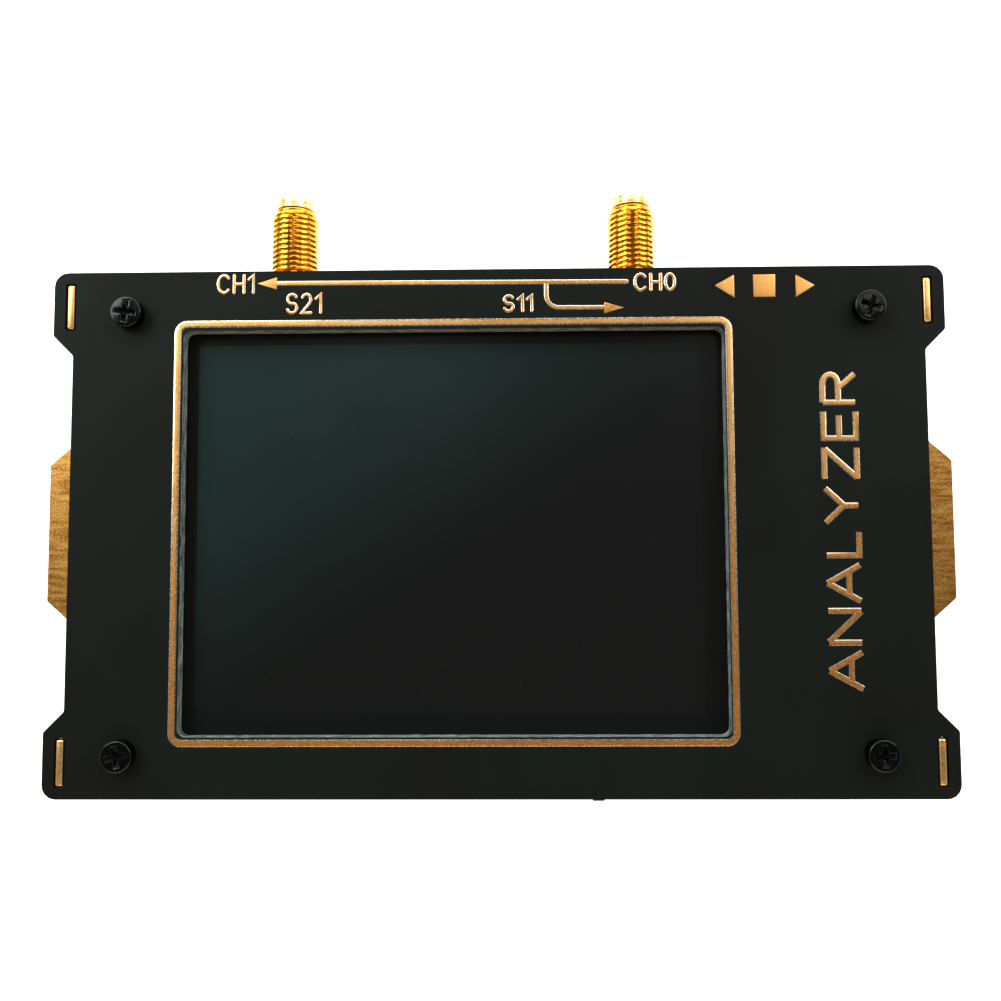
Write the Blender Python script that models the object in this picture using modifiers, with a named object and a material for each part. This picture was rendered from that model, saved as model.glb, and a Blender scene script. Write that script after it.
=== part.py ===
"""Pocket vector network analyser in a sandwich of circuit boards, in metres, +Z up.

It lies on its back: the screen looks along +Z, and the two coaxial ports point along +Y.
The origin is on the table, under the middle of the bounding box.
Positions below are measured from the centre of the case, which an empty carries to its place.
"""

from math import cos, pi, sin, tan

import bmesh
import bpy
from mathutils import Matrix, Vector

MM = 0.001

# Clearances
GAP = 0.3 * MM  # between pieces that rest on each other
FIT = 0.12 * MM  # around a piece that sits inside another

# Case plates: two equal panels with four corner ears and a shallow step between them
PANEL_W = 114.6 * MM
PANEL_H = 67.2 * MM
PANEL_T = 1.6 * MM
RECESS = 2.6 * MM
EAR_LENGTH = 8.3 * MM
CORNER_R = 1.8 * MM
STEP_R = 0.6 * MM
EDGE_BEVEL = 0.08 * MM

# Window in the front panel, off centre to the left
WINDOW_LEFT = -40.35 * MM
WINDOW_RIGHT = 29.2 * MM
WINDOW_BOTTOM = -25.95 * MM
WINDOW_TOP = 25.8 * MM
WINDOW_R = 1.0 * MM

# Screws and standoffs
SCREW_X = 47.4 * MM
SCREW_Y = 28.05 * MM
SCREW_HOLE_R = 1.2 * MM
SCREW_R = 0.95 * MM
SCREW_LENGTH = 5.0 * MM
HEAD_R = 2.0 * MM
HEAD_H = 1.3 * MM
CROSS_ARM = 1.4 * MM
CROSS_WIDTH = 0.75 * MM
CROSS_DEPTH = 0.8 * MM
CROSS_TURNS = (-7, -20, 10, 3, 25, 50, -20, 5)  # degrees, one for each screw
STANDOFF_FLATS = 4.0 * MM
STANDOFF_BORE_R = 1.15 * MM
UPPER_STANDOFF = 6.0 * MM
LOWER_STANDOFF = 8.0 * MM
STUD_LENGTH = 4.2 * MM

# Heights of the stack, from the table up
BACK_Z0 = HEAD_H + GAP
BACK_Z1 = BACK_Z0 + PANEL_T
BOARD_T = 1.6 * MM
BOARD_Z0 = BACK_Z1 + LOWER_STANDOFF
BOARD_Z1 = BOARD_Z0 + BOARD_T
FRONT_Z0 = BOARD_Z1 + UPPER_STANDOFF
FRONT_Z1 = FRONT_Z0 + PANEL_T

# Side boards, which stand in slots of both panels
SIDE_T = 1.0 * MM
SIDE_X = 55.15 * MM
SIDE_HALF = 33.0 * MM
SIDE_RELIEF = 0.9 * MM
TAB_Y = 29.1 * MM
TAB_LENGTH = 5.8 * MM
SLOT_FIT = 0.2 * MM

# Main board with a grip ear on either side
BOARD_HALF_W = 54.0 * MM
BOARD_HALF_H = 33.0 * MM
GRIP_X = 61.25 * MM
GRIP_TIP_HALF = 9.25 * MM
GRIP_ROOT_HALF = 12.4 * MM
GRIP_CHAMFER = 3.6 * MM

# Coaxial ports on the top edge, with a quarter-inch thread
PORT_X = {"ch1": -27.75 * MM, "ch0": 18.4 * MM}
PORT_Z = BOARD_Z1 + 0.5 * MM
PORT_NOTCH_W = 10.4 * MM
PORT_NOTCH_D = 2.2 * MM
PORT_Y0 = BOARD_HALF_H - PORT_NOTCH_D + GAP
PORT_LENGTH = 14.5 * MM
FLANGE_W = 9.5 * MM
FLANGE_H = 7.8 * MM
FLANGE_T = 1.7 * MM
THREAD_R = 3.12 * MM
PILOT_R = 2.6 * MM
PILOT_LENGTH = 1.6 * MM
PORT_BORE_R = 2.05 * MM
PILOT_CHAMFER = 0.3 * MM
MOUTH_R = 2.25 * MM
MOUTH_DEPTH = 1.9 * MM
LEG = 1.0 * MM
LEG_LENGTH = 4.6 * MM
LEG_X = 4.2 * MM
CONTACT_R = 0.63 * MM
TAIL_R = 0.38 * MM
TAIL_LENGTH = 3.0 * MM

# Three push buttons at the right of the top edge
BUTTON_X = {"left": 29.35 * MM, "centre": 34.45 * MM, "right": 39.65 * MM}
BUTTON_W = 4.4 * MM
BUTTON_D = 3.6 * MM
BUTTON_H = 3.3 * MM
BUTTON_BACK = 29.8 * MM
PLUNGER_W = 2.4 * MM
PLUNGER_H = 1.4 * MM
PLUNGER_TIP = 34.9 * MM
PLUNGER_LENGTH = 3.4 * MM
POCKET_DEPTH = 2.5 * MM
SLIDE_FIT = 0.15 * MM

# Power slide switch on the bottom edge
SWITCH_X = 14.0 * MM
SWITCH_W = 8.6 * MM
SWITCH_D = 3.6 * MM
SWITCH_H = 3.3 * MM
SWITCH_FRONT = -33.3 * MM
SLIDER_W = 1.6 * MM
SLIDER_H = 1.3 * MM
SLIDER_TIP = -35.2 * MM
SLIDER_LENGTH = 3.6 * MM
SLIDER_TRAVEL = 2.0 * MM
SLIDER_POCKET = 1.9 * MM

# Charging and data socket on the bottom edge, behind the main board
USB_X = -20.0 * MM
USB_W = 8.9 * MM
USB_H = 3.2 * MM
USB_LENGTH = 7.3 * MM
USB_WALL = 0.3 * MM
USB_MOUTH = -33.5 * MM
TONGUE_W = 6.7 * MM
TONGUE_T = 0.7 * MM

# Display stack behind the window
DISPLAY_X = (-44.3 * MM, 33.4 * MM)
DISPLAY_Y = (-28.4 * MM, 26.6 * MM)
TOUCH_T = 1.1 * MM
LCD_T = 1.2 * MM
TRAY_H = 2.6 * MM
TRAY_WALL = 0.8 * MM
TRAY_FLOOR = 1.0 * MM
RIBBON_W = 28.0 * MM
RIBBON_T = 0.25 * MM
CONNECTOR_X = (37.6 * MM, 41.6 * MM)
CONNECTOR_H = 1.6 * MM

# Battery behind the main board
CELL_X = (-36.0 * MM, 24.0 * MM)
CELL_Y = (-24.0 * MM, 10.5 * MM)
CELL_T = 5.5 * MM
TAPE_T = 0.5 * MM
LEAD_R = 0.5 * MM
LEAD_PITCH = 2.0 * MM
PLUG_X = (33.0 * MM, 37.4 * MM)
SOCKET_X = (35.2 * MM, 41.0 * MM)
PLUG_Y = -10.0 * MM

# Shield cans over the radio circuits, behind the main board
CAN_W = 24.0 * MM
CAN_D = 14.0 * MM
CAN_H = 2.4 * MM
CAN_WALL = 0.25 * MM
CAN_Y = 18.4 * MM

BOX_LOW_Y = SLIDER_TIP
BOX_HIGH_Y = PORT_Y0 + PORT_LENGTH
CASE_Y = -(BOX_LOW_Y + BOX_HIGH_Y) / 2


def clear_scene():
    for obj in list(bpy.data.objects):
        bpy.data.objects.remove(obj, do_unlink=True)


def new_collection(name):
    collection = bpy.data.collections.new(name)
    bpy.context.scene.collection.children.link(collection)
    return collection


clear_scene()
PARTS = new_collection("vector_network_analyzer")
CUTTERS = new_collection("cutters")

CASE = bpy.data.objects.new("case_centre", None)
CASE.location = (0, CASE_Y, 0)
PARTS.objects.link(CASE)


# Materials: name, base colour, roughness, metallic
FINISHES = {
    "black_board": ((0.012, 0.017, 0.014), 0.55, 0.0),
    "gold_board": ((0.72, 0.40, 0.10), 0.38, 1.0),
    "black_screw": ((0.015, 0.015, 0.016), 0.35, 0.8),
    "brass": ((0.78, 0.57, 0.24), 0.30, 1.0),
    "gold_plate": ((0.95, 0.60, 0.14), 0.22, 1.0),
    "white_ptfe": ((0.85, 0.84, 0.80), 0.50, 0.0),
    "black_plastic": ((0.02, 0.02, 0.02), 0.45, 0.0),
    "steel": ((0.62, 0.62, 0.60), 0.30, 1.0),
    "screen_glass": ((0.015, 0.022, 0.024), 0.06, 0.0),
    "screen_panel": ((0.02, 0.03, 0.03), 0.15, 0.0),
    "white_plastic": ((0.80, 0.80, 0.77), 0.50, 0.0),
    "ribbon": ((0.55, 0.28, 0.05), 0.40, 0.0),
    "cell_foil": ((0.66, 0.67, 0.68), 0.35, 0.9),
    "foam_tape": ((0.10, 0.10, 0.10), 0.90, 0.0),
    "red_wire": ((0.55, 0.02, 0.02), 0.45, 0.0),
    "black_wire": ((0.02, 0.02, 0.02), 0.45, 0.0),
    "chip": ((0.03, 0.03, 0.035), 0.60, 0.0),
    "lamp": ((0.20, 0.60, 0.25), 0.20, 0.0),
}


def material(finish):
    """The finish as a Principled material, made once and then shared."""
    made = bpy.data.materials.get(finish)
    if made:
        return made
    colour, roughness, metallic = FINISHES[finish]
    made = bpy.data.materials.new(finish)
    made.use_nodes = True
    shader = made.node_tree.nodes["Principled BSDF"]
    shader.inputs["Base Color"].default_value = (*colour, 1)
    shader.inputs["Roughness"].default_value = roughness
    shader.inputs["Metallic"].default_value = metallic
    made.diffuse_color = (*colour, 1)
    return made


def place(name, data, finish, location=(0, 0, 0), turn=(0, 0, 0)):
    """A named piece of the instrument, turned by angles in degrees."""
    obj = bpy.data.objects.new(name, data)
    PARTS.objects.link(obj)
    obj.parent = CASE
    obj.location = location
    obj.rotation_euler = [angle * pi / 180 for angle in turn]
    if not data.materials:
        data.materials.append(material(finish))
    return obj


# Outlines -------------------------------------------------------------------


def arc(centre, radius, start, end, steps):
    """Points on an arc, angles in radians."""
    span = end - start
    angles = [start + span * i / steps for i in range(steps + 1)]
    return [(centre[0] + radius * cos(a), centre[1] + radius * sin(a)) for a in angles]


def rounded(corners, steps=5):
    """An outline through corners given as (x, y, radius), each rounded by an arc."""
    points = []
    for i, (x, y, radius) in enumerate(corners):
        here = Vector((x, y))
        back = (Vector(corners[i - 1][:2]) - here).normalized()
        ahead = (Vector(corners[(i + 1) % len(corners)][:2]) - here).normalized()
        if radius == 0:
            points.append((x, y))
            continue
        half = back.angle(ahead) / 2
        centre = here + (back + ahead).normalized() * (radius / sin(half))
        first = here + back * (radius / tan(half)) - centre
        sweep = first.angle_signed(here + ahead * (radius / tan(half)) - centre)
        for step in range(steps + 1):
            points.append(tuple(centre + Matrix.Rotation(-sweep * step / steps, 2) @ first))
    return points


def rectangle(x0, x1, y0, y1, radius=0.0, steps=4):
    return rounded([(x0, y0, radius), (x1, y0, radius), (x1, y1, radius), (x0, y1, radius)], steps)


def circle(x, y, radius, steps=20):
    return arc((x, y), radius, 0, 2 * pi, steps)[:-1]


def mirrored_x(points):
    """The corners, and then their mirror images across the middle, back to the start."""
    return points + [(-x, y, r) for x, y, r in reversed(points)]


def flat_curve(name, outlines, thickness):
    """A flat plate: the first outline is its edge, and the others are openings in it."""
    curve = bpy.data.curves.new(name, "CURVE")
    curve.dimensions = "2D"
    curve.fill_mode = "BOTH"
    curve.extrude = thickness / 2
    for outline in outlines:
        spline = curve.splines.new("POLY")
        spline.points.add(len(outline) - 1)
        spline.use_cyclic_u = True
        for point, (x, y) in zip(spline.points, outline):
            point.co = (x, y, 0, 1)
    return curve


def plate(name, outlines, z0, z1, finish, bevel=0.0):
    """A plate that lies flat, from height z0 to z1."""
    piece = place(name, flat_curve(name, outlines, z1 - z0), finish, (0, 0, (z0 + z1) / 2))
    if bevel:
        soften(piece, bevel, weld=True)
    return piece


def soften(piece, width, segments=1, weld=False):
    """Bevels every edge sharper than 40 degrees."""
    if weld:
        merge = piece.modifiers.new("weld", "WELD")
        merge.merge_threshold = 0.00001
    bevel = piece.modifiers.new("edges", "BEVEL")
    bevel.width = width
    bevel.segments = segments
    bevel.limit_method = "ANGLE"
    bevel.angle_limit = 40 * pi / 180


# Solids ---------------------------------------------------------------------


def box_mesh(name, size):
    shape = bmesh.new()
    bmesh.ops.create_cube(shape, size=1)
    bmesh.ops.scale(shape, vec=size, verts=shape.verts)
    mesh = bpy.data.meshes.new(name)
    shape.to_mesh(mesh)
    shape.free()
    return mesh


def box(name, x, y, z, finish, bevel=0.0):
    """A block between the two limits given for each axis."""
    size = [high - low for low, high in (x, y, z)]
    centre = [(high + low) / 2 for low, high in (x, y, z)]
    piece = place(name, box_mesh(name, size), finish, centre)
    if bevel:
        soften(piece, bevel)
    return piece


def round_mesh(name, radius, length, sides):
    """A cylinder, or a prism of few sides, that stands on its own origin along Z."""
    shape = bmesh.new()
    bmesh.ops.create_cone(
        shape, cap_ends=True, segments=sides, radius1=radius, radius2=radius, depth=length
    )
    bmesh.ops.translate(shape, vec=(0, 0, length / 2), verts=shape.verts)
    mesh = bpy.data.meshes.new(name)
    shape.to_mesh(mesh)
    shape.free()
    return mesh


def turned(name, profile, finish, location=(0, 0, 0), turn=(0, 0, 0), steps=32):
    """A turned piece: its profile is radius and height, from the top down the outer side."""
    shape = bmesh.new()
    points = [shape.verts.new((radius, 0, height)) for radius, height in profile]
    for upper, lower in zip(points, points[1:]):
        shape.edges.new((upper, lower))
    mesh = bpy.data.meshes.new(name)
    shape.to_mesh(mesh)
    shape.free()
    piece = place(name, mesh, finish, location, turn)
    lathe = piece.modifiers.new("lathe", "SCREW")
    lathe.steps = steps
    lathe.render_steps = steps
    lathe.use_merge_vertices = True
    lathe.merge_threshold = 0.00001
    return piece


def cutter(name, mesh, target, location, turn=(0, 0, 0)):
    """A hidden tool that takes its shape away from the target, in the target's own axes."""
    tool = bpy.data.objects.new(name, mesh)
    CUTTERS.objects.link(tool)
    tool.parent = target
    tool.location = location
    tool.rotation_euler = [angle * pi / 180 for angle in turn]
    tool.hide_render = True
    tool.display_type = "WIRE"
    cut = target.modifiers.new(name, "BOOLEAN")
    cut.operation = "DIFFERENCE"
    cut.object = tool
    return tool


def joined(name, mesh, target, location, turn=(0, 0, 0)):
    """A hidden tool whose shape is added to the target."""
    tool = cutter(name, mesh, target, location, turn)
    target.modifiers[name].operation = "UNION"
    return tool


def frozen(piece, tools):
    """The finished mesh of a pattern piece, which is then taken away with its tools."""
    bpy.context.view_layer.update()
    graph = bpy.context.evaluated_depsgraph_get()
    mesh = bpy.data.meshes.new_from_object(piece.evaluated_get(graph))
    mesh.shade_smooth()
    mesh.set_sharp_from_angle(angle=35 * pi / 180)
    for obj in [*tools, piece]:
        bpy.data.objects.remove(obj, do_unlink=True)
    return mesh


# Case -----------------------------------------------------------------------


def panel_outline():
    half_w = PANEL_W / 2
    half_h = PANEL_H / 2
    step = half_h - EAR_LENGTH
    right = [
        (half_w, half_h, CORNER_R),
        (half_w, step, STEP_R),
        (half_w - RECESS, step - RECESS, STEP_R),
        (half_w - RECESS, RECESS - step, STEP_R),
        (half_w, -step, STEP_R),
        (half_w, -half_h, CORNER_R),
    ]
    return rounded(mirrored_x(right))


def corner_places():
    """The four screw positions: upper left, upper right, lower left, lower right."""
    return [(x, y) for y in (SCREW_Y, -SCREW_Y) for x in (-SCREW_X, SCREW_X)]


def panel_openings():
    """Screw holes and side-board slots, which both panels have."""
    openings = [circle(x, y, SCREW_HOLE_R) for x, y in corner_places()]
    half_t = SIDE_T / 2 + SLOT_FIT
    half_l = TAB_LENGTH / 2 + SLOT_FIT
    for x in (-SIDE_X, SIDE_X):
        for y in (-TAB_Y, TAB_Y):
            openings.append(rectangle(x - half_t, x + half_t, y - half_l, y + half_l, 0.3 * MM, 2))
    return openings


def make_panels():
    window = rectangle(WINDOW_LEFT, WINDOW_RIGHT, WINDOW_BOTTOM, WINDOW_TOP, WINDOW_R)
    front = [panel_outline(), window, *panel_openings()]
    back = [panel_outline(), *panel_openings()]
    plate("front_panel", front, FRONT_Z0, FRONT_Z1, "black_board", EDGE_BEVEL)
    plate("back_panel", back, BACK_Z0, BACK_Z1, "black_board", EDGE_BEVEL)


def side_outline():
    """The side board seen from the side: x runs along the case and y runs up."""
    low = BACK_Z1 + GAP
    high = FRONT_Z0 - GAP
    relief = high - SIDE_RELIEF
    half_tab = TAB_LENGTH / 2
    step_y = TAB_Y - half_tab - 2 * GAP
    right = [
        (TAB_Y - half_tab, BACK_Z0, 0),
        (TAB_Y + half_tab, BACK_Z0, 0),
        (TAB_Y + half_tab, low, 0),
        (SIDE_HALF, low, 0),
        (SIDE_HALF, high, 0),
        (TAB_Y + half_tab, high, 0),
        (TAB_Y + half_tab, FRONT_Z1, 0),
        (TAB_Y - half_tab, FRONT_Z1, 0),
        (TAB_Y - half_tab, high, 0),
        (step_y, high, 0),
        (step_y - SIDE_RELIEF, relief, 0),
    ]
    start = [(0, low, 0), (TAB_Y - half_tab, low, 0)]
    left = [(-x, z, r) for x, z, r in reversed(right)]
    return rounded([*start, *right, *left, (half_tab - TAB_Y, low, 0)])


def make_side_boards():
    slot_half = GRIP_ROOT_HALF + GAP
    grip_slot = rectangle(-slot_half, slot_half, BOARD_Z0 - GAP, BOARD_Z1 + GAP, 0.4 * MM, 3)
    for name, x in (("left_side_board", -SIDE_X), ("right_side_board", SIDE_X)):
        curve = flat_curve(name, [side_outline(), grip_slot], SIDE_T)
        place(name, curve, "gold_board", (x, 0, 0), (90, 0, 90))


# Main board -----------------------------------------------------------------


def main_board_outline():
    top = BOARD_HALF_H
    edge = BOARD_HALF_W
    points = [(-edge, -top, 1 * MM), (edge, -top, 1 * MM)]
    grip = [
        (edge, -GRIP_ROOT_HALF, 0.4 * MM),
        (GRIP_X - GRIP_CHAMFER, -GRIP_ROOT_HALF, 0),
        (GRIP_X, -GRIP_TIP_HALF, 0.3 * MM),
    ]
    points += grip
    points += [(x, -y, r) for x, y, r in reversed(grip)]
    points.append((edge, top, 1 * MM))
    for x in sorted(PORT_X.values(), reverse=True):
        side = PORT_NOTCH_W / 2
        low = top - PORT_NOTCH_D
        points += [(x + side, top, 0), (x + side, low, 0.3 * MM)]
        points += [(x - side, low, 0.3 * MM), (x - side, top, 0)]
    points.append((-edge, top, 1 * MM))
    points += [(-x, -y, r) for x, y, r in grip]
    points += [(-x, y, r) for x, y, r in reversed(grip)]
    return rounded(points, 3)


def make_main_board():
    holes = [circle(x, y, SCREW_HOLE_R, 16) for x, y in corner_places()]
    plate("main_board", [main_board_outline(), *holes], BOARD_Z0, BOARD_Z1, "gold_board")


# Fasteners ------------------------------------------------------------------


def screw_mesh():
    """A pan-head screw that points down, its head's underside at the origin."""
    dome = [
        (HEAD_R * 0.55, HEAD_H),
        (HEAD_R * 0.80, HEAD_H * 0.93),
        (HEAD_R * 0.95, HEAD_H * 0.75),
        (HEAD_R, HEAD_H * 0.45),
        (HEAD_R, 0),
    ]
    tip = [
        (SCREW_R, 0),
        (SCREW_R, -SCREW_LENGTH + 0.3 * MM),
        (SCREW_R * 0.7, -SCREW_LENGTH),
        (0, -SCREW_LENGTH),
    ]
    pattern = turned("screw_pattern", [(0, HEAD_H), *dome, *tip], "black_screw", steps=24)
    arm = box_mesh("cross_arm", (CROSS_ARM * 2, CROSS_WIDTH, CROSS_DEPTH * 2))
    tools = [
        cutter(f"cross_{angle}", arm, pattern, (0, 0, HEAD_H), (0, 0, angle)) for angle in (0, 90)
    ]
    return frozen(pattern, tools)


def make_screws():
    mesh = screw_mesh()
    names = ("upper_left", "upper_right", "lower_left", "lower_right")
    for i, (corner, (x, y)) in enumerate(zip(names, corner_places())):
        front = (0, 0, CROSS_TURNS[i])
        back = (180, 0, CROSS_TURNS[i + 4])
        place(f"front_screw_{corner}", mesh, "black_screw", (x, y, FRONT_Z1 + GAP), front)
        place(f"back_screw_{corner}", mesh, "black_screw", (x, y, BACK_Z0 - GAP), back)


def standoff_mesh(length, stud):
    """A hexagonal standoff on its own origin, with a stud below it or a bore right through."""
    body = length - 2 * GAP
    radius = STANDOFF_FLATS / 2 / cos(pi / 6)
    pattern = place("standoff_pattern", round_mesh("standoff_body", radius, body, 6), "brass")
    if stud:
        stem = round_mesh("standoff_stud", SCREW_R, STUD_LENGTH + MM, 16)
        tools = [joined("stud", stem, pattern, (0, 0, -STUD_LENGTH))]
        hole = round_mesh("standoff_bore", STANDOFF_BORE_R, body, 16)
        tools.append(cutter("bore", hole, pattern, (0, 0, 2 * MM)))
    else:
        hole = round_mesh("standoff_bore", STANDOFF_BORE_R, body + 2 * MM, 16)
        tools = [cutter("bore", hole, pattern, (0, 0, -MM))]
    return frozen(pattern, tools)


def make_standoffs():
    upper = standoff_mesh(UPPER_STANDOFF, True)
    lower = standoff_mesh(LOWER_STANDOFF, False)
    names = ("upper_left", "upper_right", "lower_left", "lower_right")
    for corner, (x, y) in zip(names, corner_places()):
        place(f"front_standoff_{corner}", upper, "brass", (x, y, BOARD_Z1 + GAP))
        place(f"back_standoff_{corner}", lower, "brass", (x, y, BACK_Z1 + GAP))


# Coaxial ports --------------------------------------------------------------


def port_body_mesh():
    """A threaded jack on a square flange with four legs, along +Z from the flange's back."""
    thread_end = PORT_LENGTH - PILOT_LENGTH
    profile = [
        (0, PORT_LENGTH),
        (PILOT_R - PILOT_CHAMFER, PORT_LENGTH),
        (PILOT_R, PORT_LENGTH - PILOT_CHAMFER),
        (PILOT_R, thread_end + 0.4 * MM),
        (THREAD_R, thread_end),
        (THREAD_R, FLANGE_T / 2),
        (0, FLANGE_T / 2),
    ]
    pattern = turned("port_pattern", profile, "gold_plate")
    flange = box_mesh("flange", (FLANGE_W, FLANGE_H, FLANGE_T))
    tools = [joined("flange", flange, pattern, (0, 0, FLANGE_T / 2))]
    leg = box_mesh("leg", (LEG, LEG, LEG_LENGTH + FLANGE_T / 2))
    board_low = PORT_Z - BOARD_Z0 + FIT + LEG / 2
    board_high = BOARD_Z1 - PORT_Z + FIT + LEG / 2
    places = [(x, y) for x in (-LEG_X, LEG_X) for y in (board_low, -board_high)]
    for i, (x, y) in enumerate(places):
        tools.append(joined(f"leg_{i}", leg, pattern, (x, y, FLANGE_T / 4 - LEG_LENGTH / 2)))
    bore = round_mesh("port_bore", PORT_BORE_R, PORT_LENGTH + 4 * MM, 24)
    mouth = round_mesh("port_mouth", MOUTH_R, MOUTH_DEPTH + MM, 24)
    tools.append(cutter("bore", bore, pattern, (0, 0, -2 * MM)))
    tools.append(cutter("mouth", mouth, pattern, (0, 0, PORT_LENGTH - MOUTH_DEPTH)))
    return frozen(pattern, tools)


def insulator_mesh():
    length = PORT_LENGTH - MOUTH_DEPTH
    body = round_mesh("insulator", PORT_BORE_R - FIT, length, 24)
    pattern = place("insulator_pattern", body, "white_ptfe")
    hole = round_mesh("insulator_bore", CONTACT_R + FIT, length + 2 * MM, 16)
    return frozen(pattern, [cutter("bore", hole, pattern, (0, 0, -MM))])


def contact_profile():
    """Socket end on top with its own bore, and a thin solder tail that reaches below zero."""
    top = PORT_LENGTH - MOUTH_DEPTH
    socket_r = 0.47 * MM
    return [
        (0, top - 2.5 * MM),
        (socket_r, top - 2.5 * MM),
        (socket_r, top),
        (CONTACT_R, top),
        (CONTACT_R, 0.5 * MM),
        (TAIL_R, 0.5 * MM),
        (TAIL_R, -TAIL_LENGTH),
        (0, -TAIL_LENGTH),
    ]


def make_ports():
    body = port_body_mesh()
    insulator = insulator_mesh()
    contact = frozen(turned("contact_pattern", contact_profile(), "gold_plate", steps=16), [])
    for channel, x in PORT_X.items():
        at = (x, PORT_Y0, PORT_Z)
        place(f"{channel}_port_body", body, "gold_plate", at, (-90, 0, 0))
        place(f"{channel}_port_insulator", insulator, "white_ptfe", at, (-90, 0, 0))
        place(f"{channel}_port_contact", contact, "gold_plate", at, (-90, 0, 0))


# Buttons and power switch ---------------------------------------------------


def make_buttons():
    z0 = BOARD_Z1 + FIT
    middle = z0 + BUTTON_H / 2
    front = BUTTON_BACK + BUTTON_D
    pocket = box_mesh(
        "button_pocket",
        (PLUNGER_W + 2 * SLIDE_FIT, 2 * POCKET_DEPTH, PLUNGER_H + 2 * SLIDE_FIT),
    )
    for side, x in BUTTON_X.items():
        limits = (x - BUTTON_W / 2, x + BUTTON_W / 2)
        body = box(
            f"{side}_button_body", limits, (BUTTON_BACK, front), (z0, z0 + BUTTON_H), "black_plastic"
        )
        cutter(f"{side}_button_pocket", pocket, body, (0, BUTTON_D / 2, 0))
        plunger = box_mesh(f"{side}_button_plunger", (PLUNGER_W, PLUNGER_LENGTH, PLUNGER_H))
        at = (x, PLUNGER_TIP - PLUNGER_LENGTH / 2, middle)
        soften(place(f"{side}_button_plunger", plunger, "black_plastic", at), 0.2 * MM, 2)


def make_power_switch():
    z0 = BOARD_Z1 + FIT
    back = SWITCH_FRONT + SWITCH_D
    limits = (SWITCH_X - SWITCH_W / 2, SWITCH_X + SWITCH_W / 2)
    body = box("power_switch_body", limits, (SWITCH_FRONT, back), (z0, z0 + SWITCH_H), "steel")
    size = (
        SLIDER_W + SLIDER_TRAVEL + 2 * SLIDE_FIT,
        2 * SLIDER_POCKET,
        SLIDER_H + 2 * SLIDE_FIT,
    )
    cutter("power_switch_slot", box_mesh("switch_slot", size), body, (0, -SWITCH_D / 2, 0))
    slider = box_mesh("power_switch_slider", (SLIDER_W, SLIDER_LENGTH, SLIDER_H))
    at = (SWITCH_X - SLIDER_TRAVEL / 2, SLIDER_TIP + SLIDER_LENGTH / 2, z0 + SWITCH_H / 2)
    soften(place("power_switch_slider", slider, "black_plastic", at), 0.15 * MM, 2)


def make_usb_socket():
    top = BOARD_Z0 - FIT
    middle = top - USB_H / 2
    centre = USB_MOUTH + USB_LENGTH / 2
    half_w = USB_W / 2
    half_h = USB_H / 2
    outer = rectangle(-half_w, half_w, -half_h, half_h, half_h - 0.1 * MM, 5)
    inner_w = half_w - USB_WALL
    inner_h = half_h - USB_WALL
    inner = rectangle(-inner_w, inner_w, -inner_h, inner_h, inner_h - 0.1 * MM, 5)
    shell = flat_curve("usb_shell", [outer, inner], USB_LENGTH)
    place("usb_shell", shell, "steel", (USB_X, centre, middle), (90, 0, 0))
    block_w = USB_W - 2 * USB_WALL - 2 * half_h
    block_h = USB_H - 2 * USB_WALL - 2 * FIT
    base_y = (USB_MOUTH + USB_LENGTH - 2.2 * MM, USB_MOUTH + USB_LENGTH)
    base_x = (USB_X - block_w / 2 - half_h / 2, USB_X + block_w / 2 + half_h / 2)
    base_z = (middle - block_h / 2, middle + block_h / 2)
    base = box("usb_tongue", base_x, base_y, base_z, "black_plastic")
    blade = box_mesh("usb_blade", (TONGUE_W, USB_LENGTH - 1.0 * MM, TONGUE_T))
    joined("usb_blade", blade, base, (0, -(USB_LENGTH - 1.0 * MM) / 2, 0))


# Display --------------------------------------------------------------------


def make_display():
    top = FRONT_Z0 - GAP
    touch_z = (top - TOUCH_T, top)
    lcd_z = (touch_z[0] - GAP / 2 - LCD_T, touch_z[0] - GAP / 2)
    tray_top = touch_z[0] - GAP / 2
    box("touch_panel", DISPLAY_X, DISPLAY_Y, touch_z, "screen_glass")
    inset = TRAY_WALL + FIT
    lcd_x = (DISPLAY_X[0] + inset, DISPLAY_X[1] - inset)
    lcd_y = (DISPLAY_Y[0] + inset, DISPLAY_Y[1] - inset)
    box("lcd_panel", lcd_x, lcd_y, lcd_z, "screen_panel")
    tray = box("display_tray", DISPLAY_X, DISPLAY_Y, (tray_top - TRAY_H, tray_top), "white_plastic")
    hollow = (
        DISPLAY_X[1] - DISPLAY_X[0] - 2 * TRAY_WALL,
        DISPLAY_Y[1] - DISPLAY_Y[0] - 2 * TRAY_WALL,
        TRAY_H,
    )
    cutter("tray_hollow", box_mesh("tray_hollow", hollow), tray, (0, 0, TRAY_FLOOR))


def ribbon_outline():
    """The ribbon's section: an S from the display's edge down to its connector."""
    start = Vector((DISPLAY_X[1] + GAP, FRONT_Z0 - 3.3 * MM))
    end = Vector((CONNECTOR_X[0] - GAP, BOARD_Z1 + 0.9 * MM))
    steps = 14
    middle = []
    for i in range(steps + 1):
        share = i / steps
        blend = (1 - cos(pi * share)) / 2
        middle.append(Vector((start.x + (end.x - start.x) * share, start.y + (end.y - start.y) * blend)))
    upper = []
    lower = []
    for i, point in enumerate(middle):
        along = middle[min(i + 1, steps)] - middle[max(i - 1, 0)]
        across = Vector((-along.y, along.x)).normalized() * (RIBBON_T / 2)
        upper.append(tuple(point + across))
        lower.append(tuple(point - across))
    return lower + upper[::-1]


def make_ribbon():
    curve = flat_curve("display_ribbon", [ribbon_outline()], RIBBON_W)
    place("display_ribbon", curve, "ribbon", (0, 0, 0), (90, 0, 0))
    z = (BOARD_Z1 + FIT, BOARD_Z1 + FIT + CONNECTOR_H)
    y = (-RIBBON_W / 2 - MM, RIBBON_W / 2 + MM)
    box("ribbon_connector", CONNECTOR_X, y, z, "white_plastic")


# Battery --------------------------------------------------------------------


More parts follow.
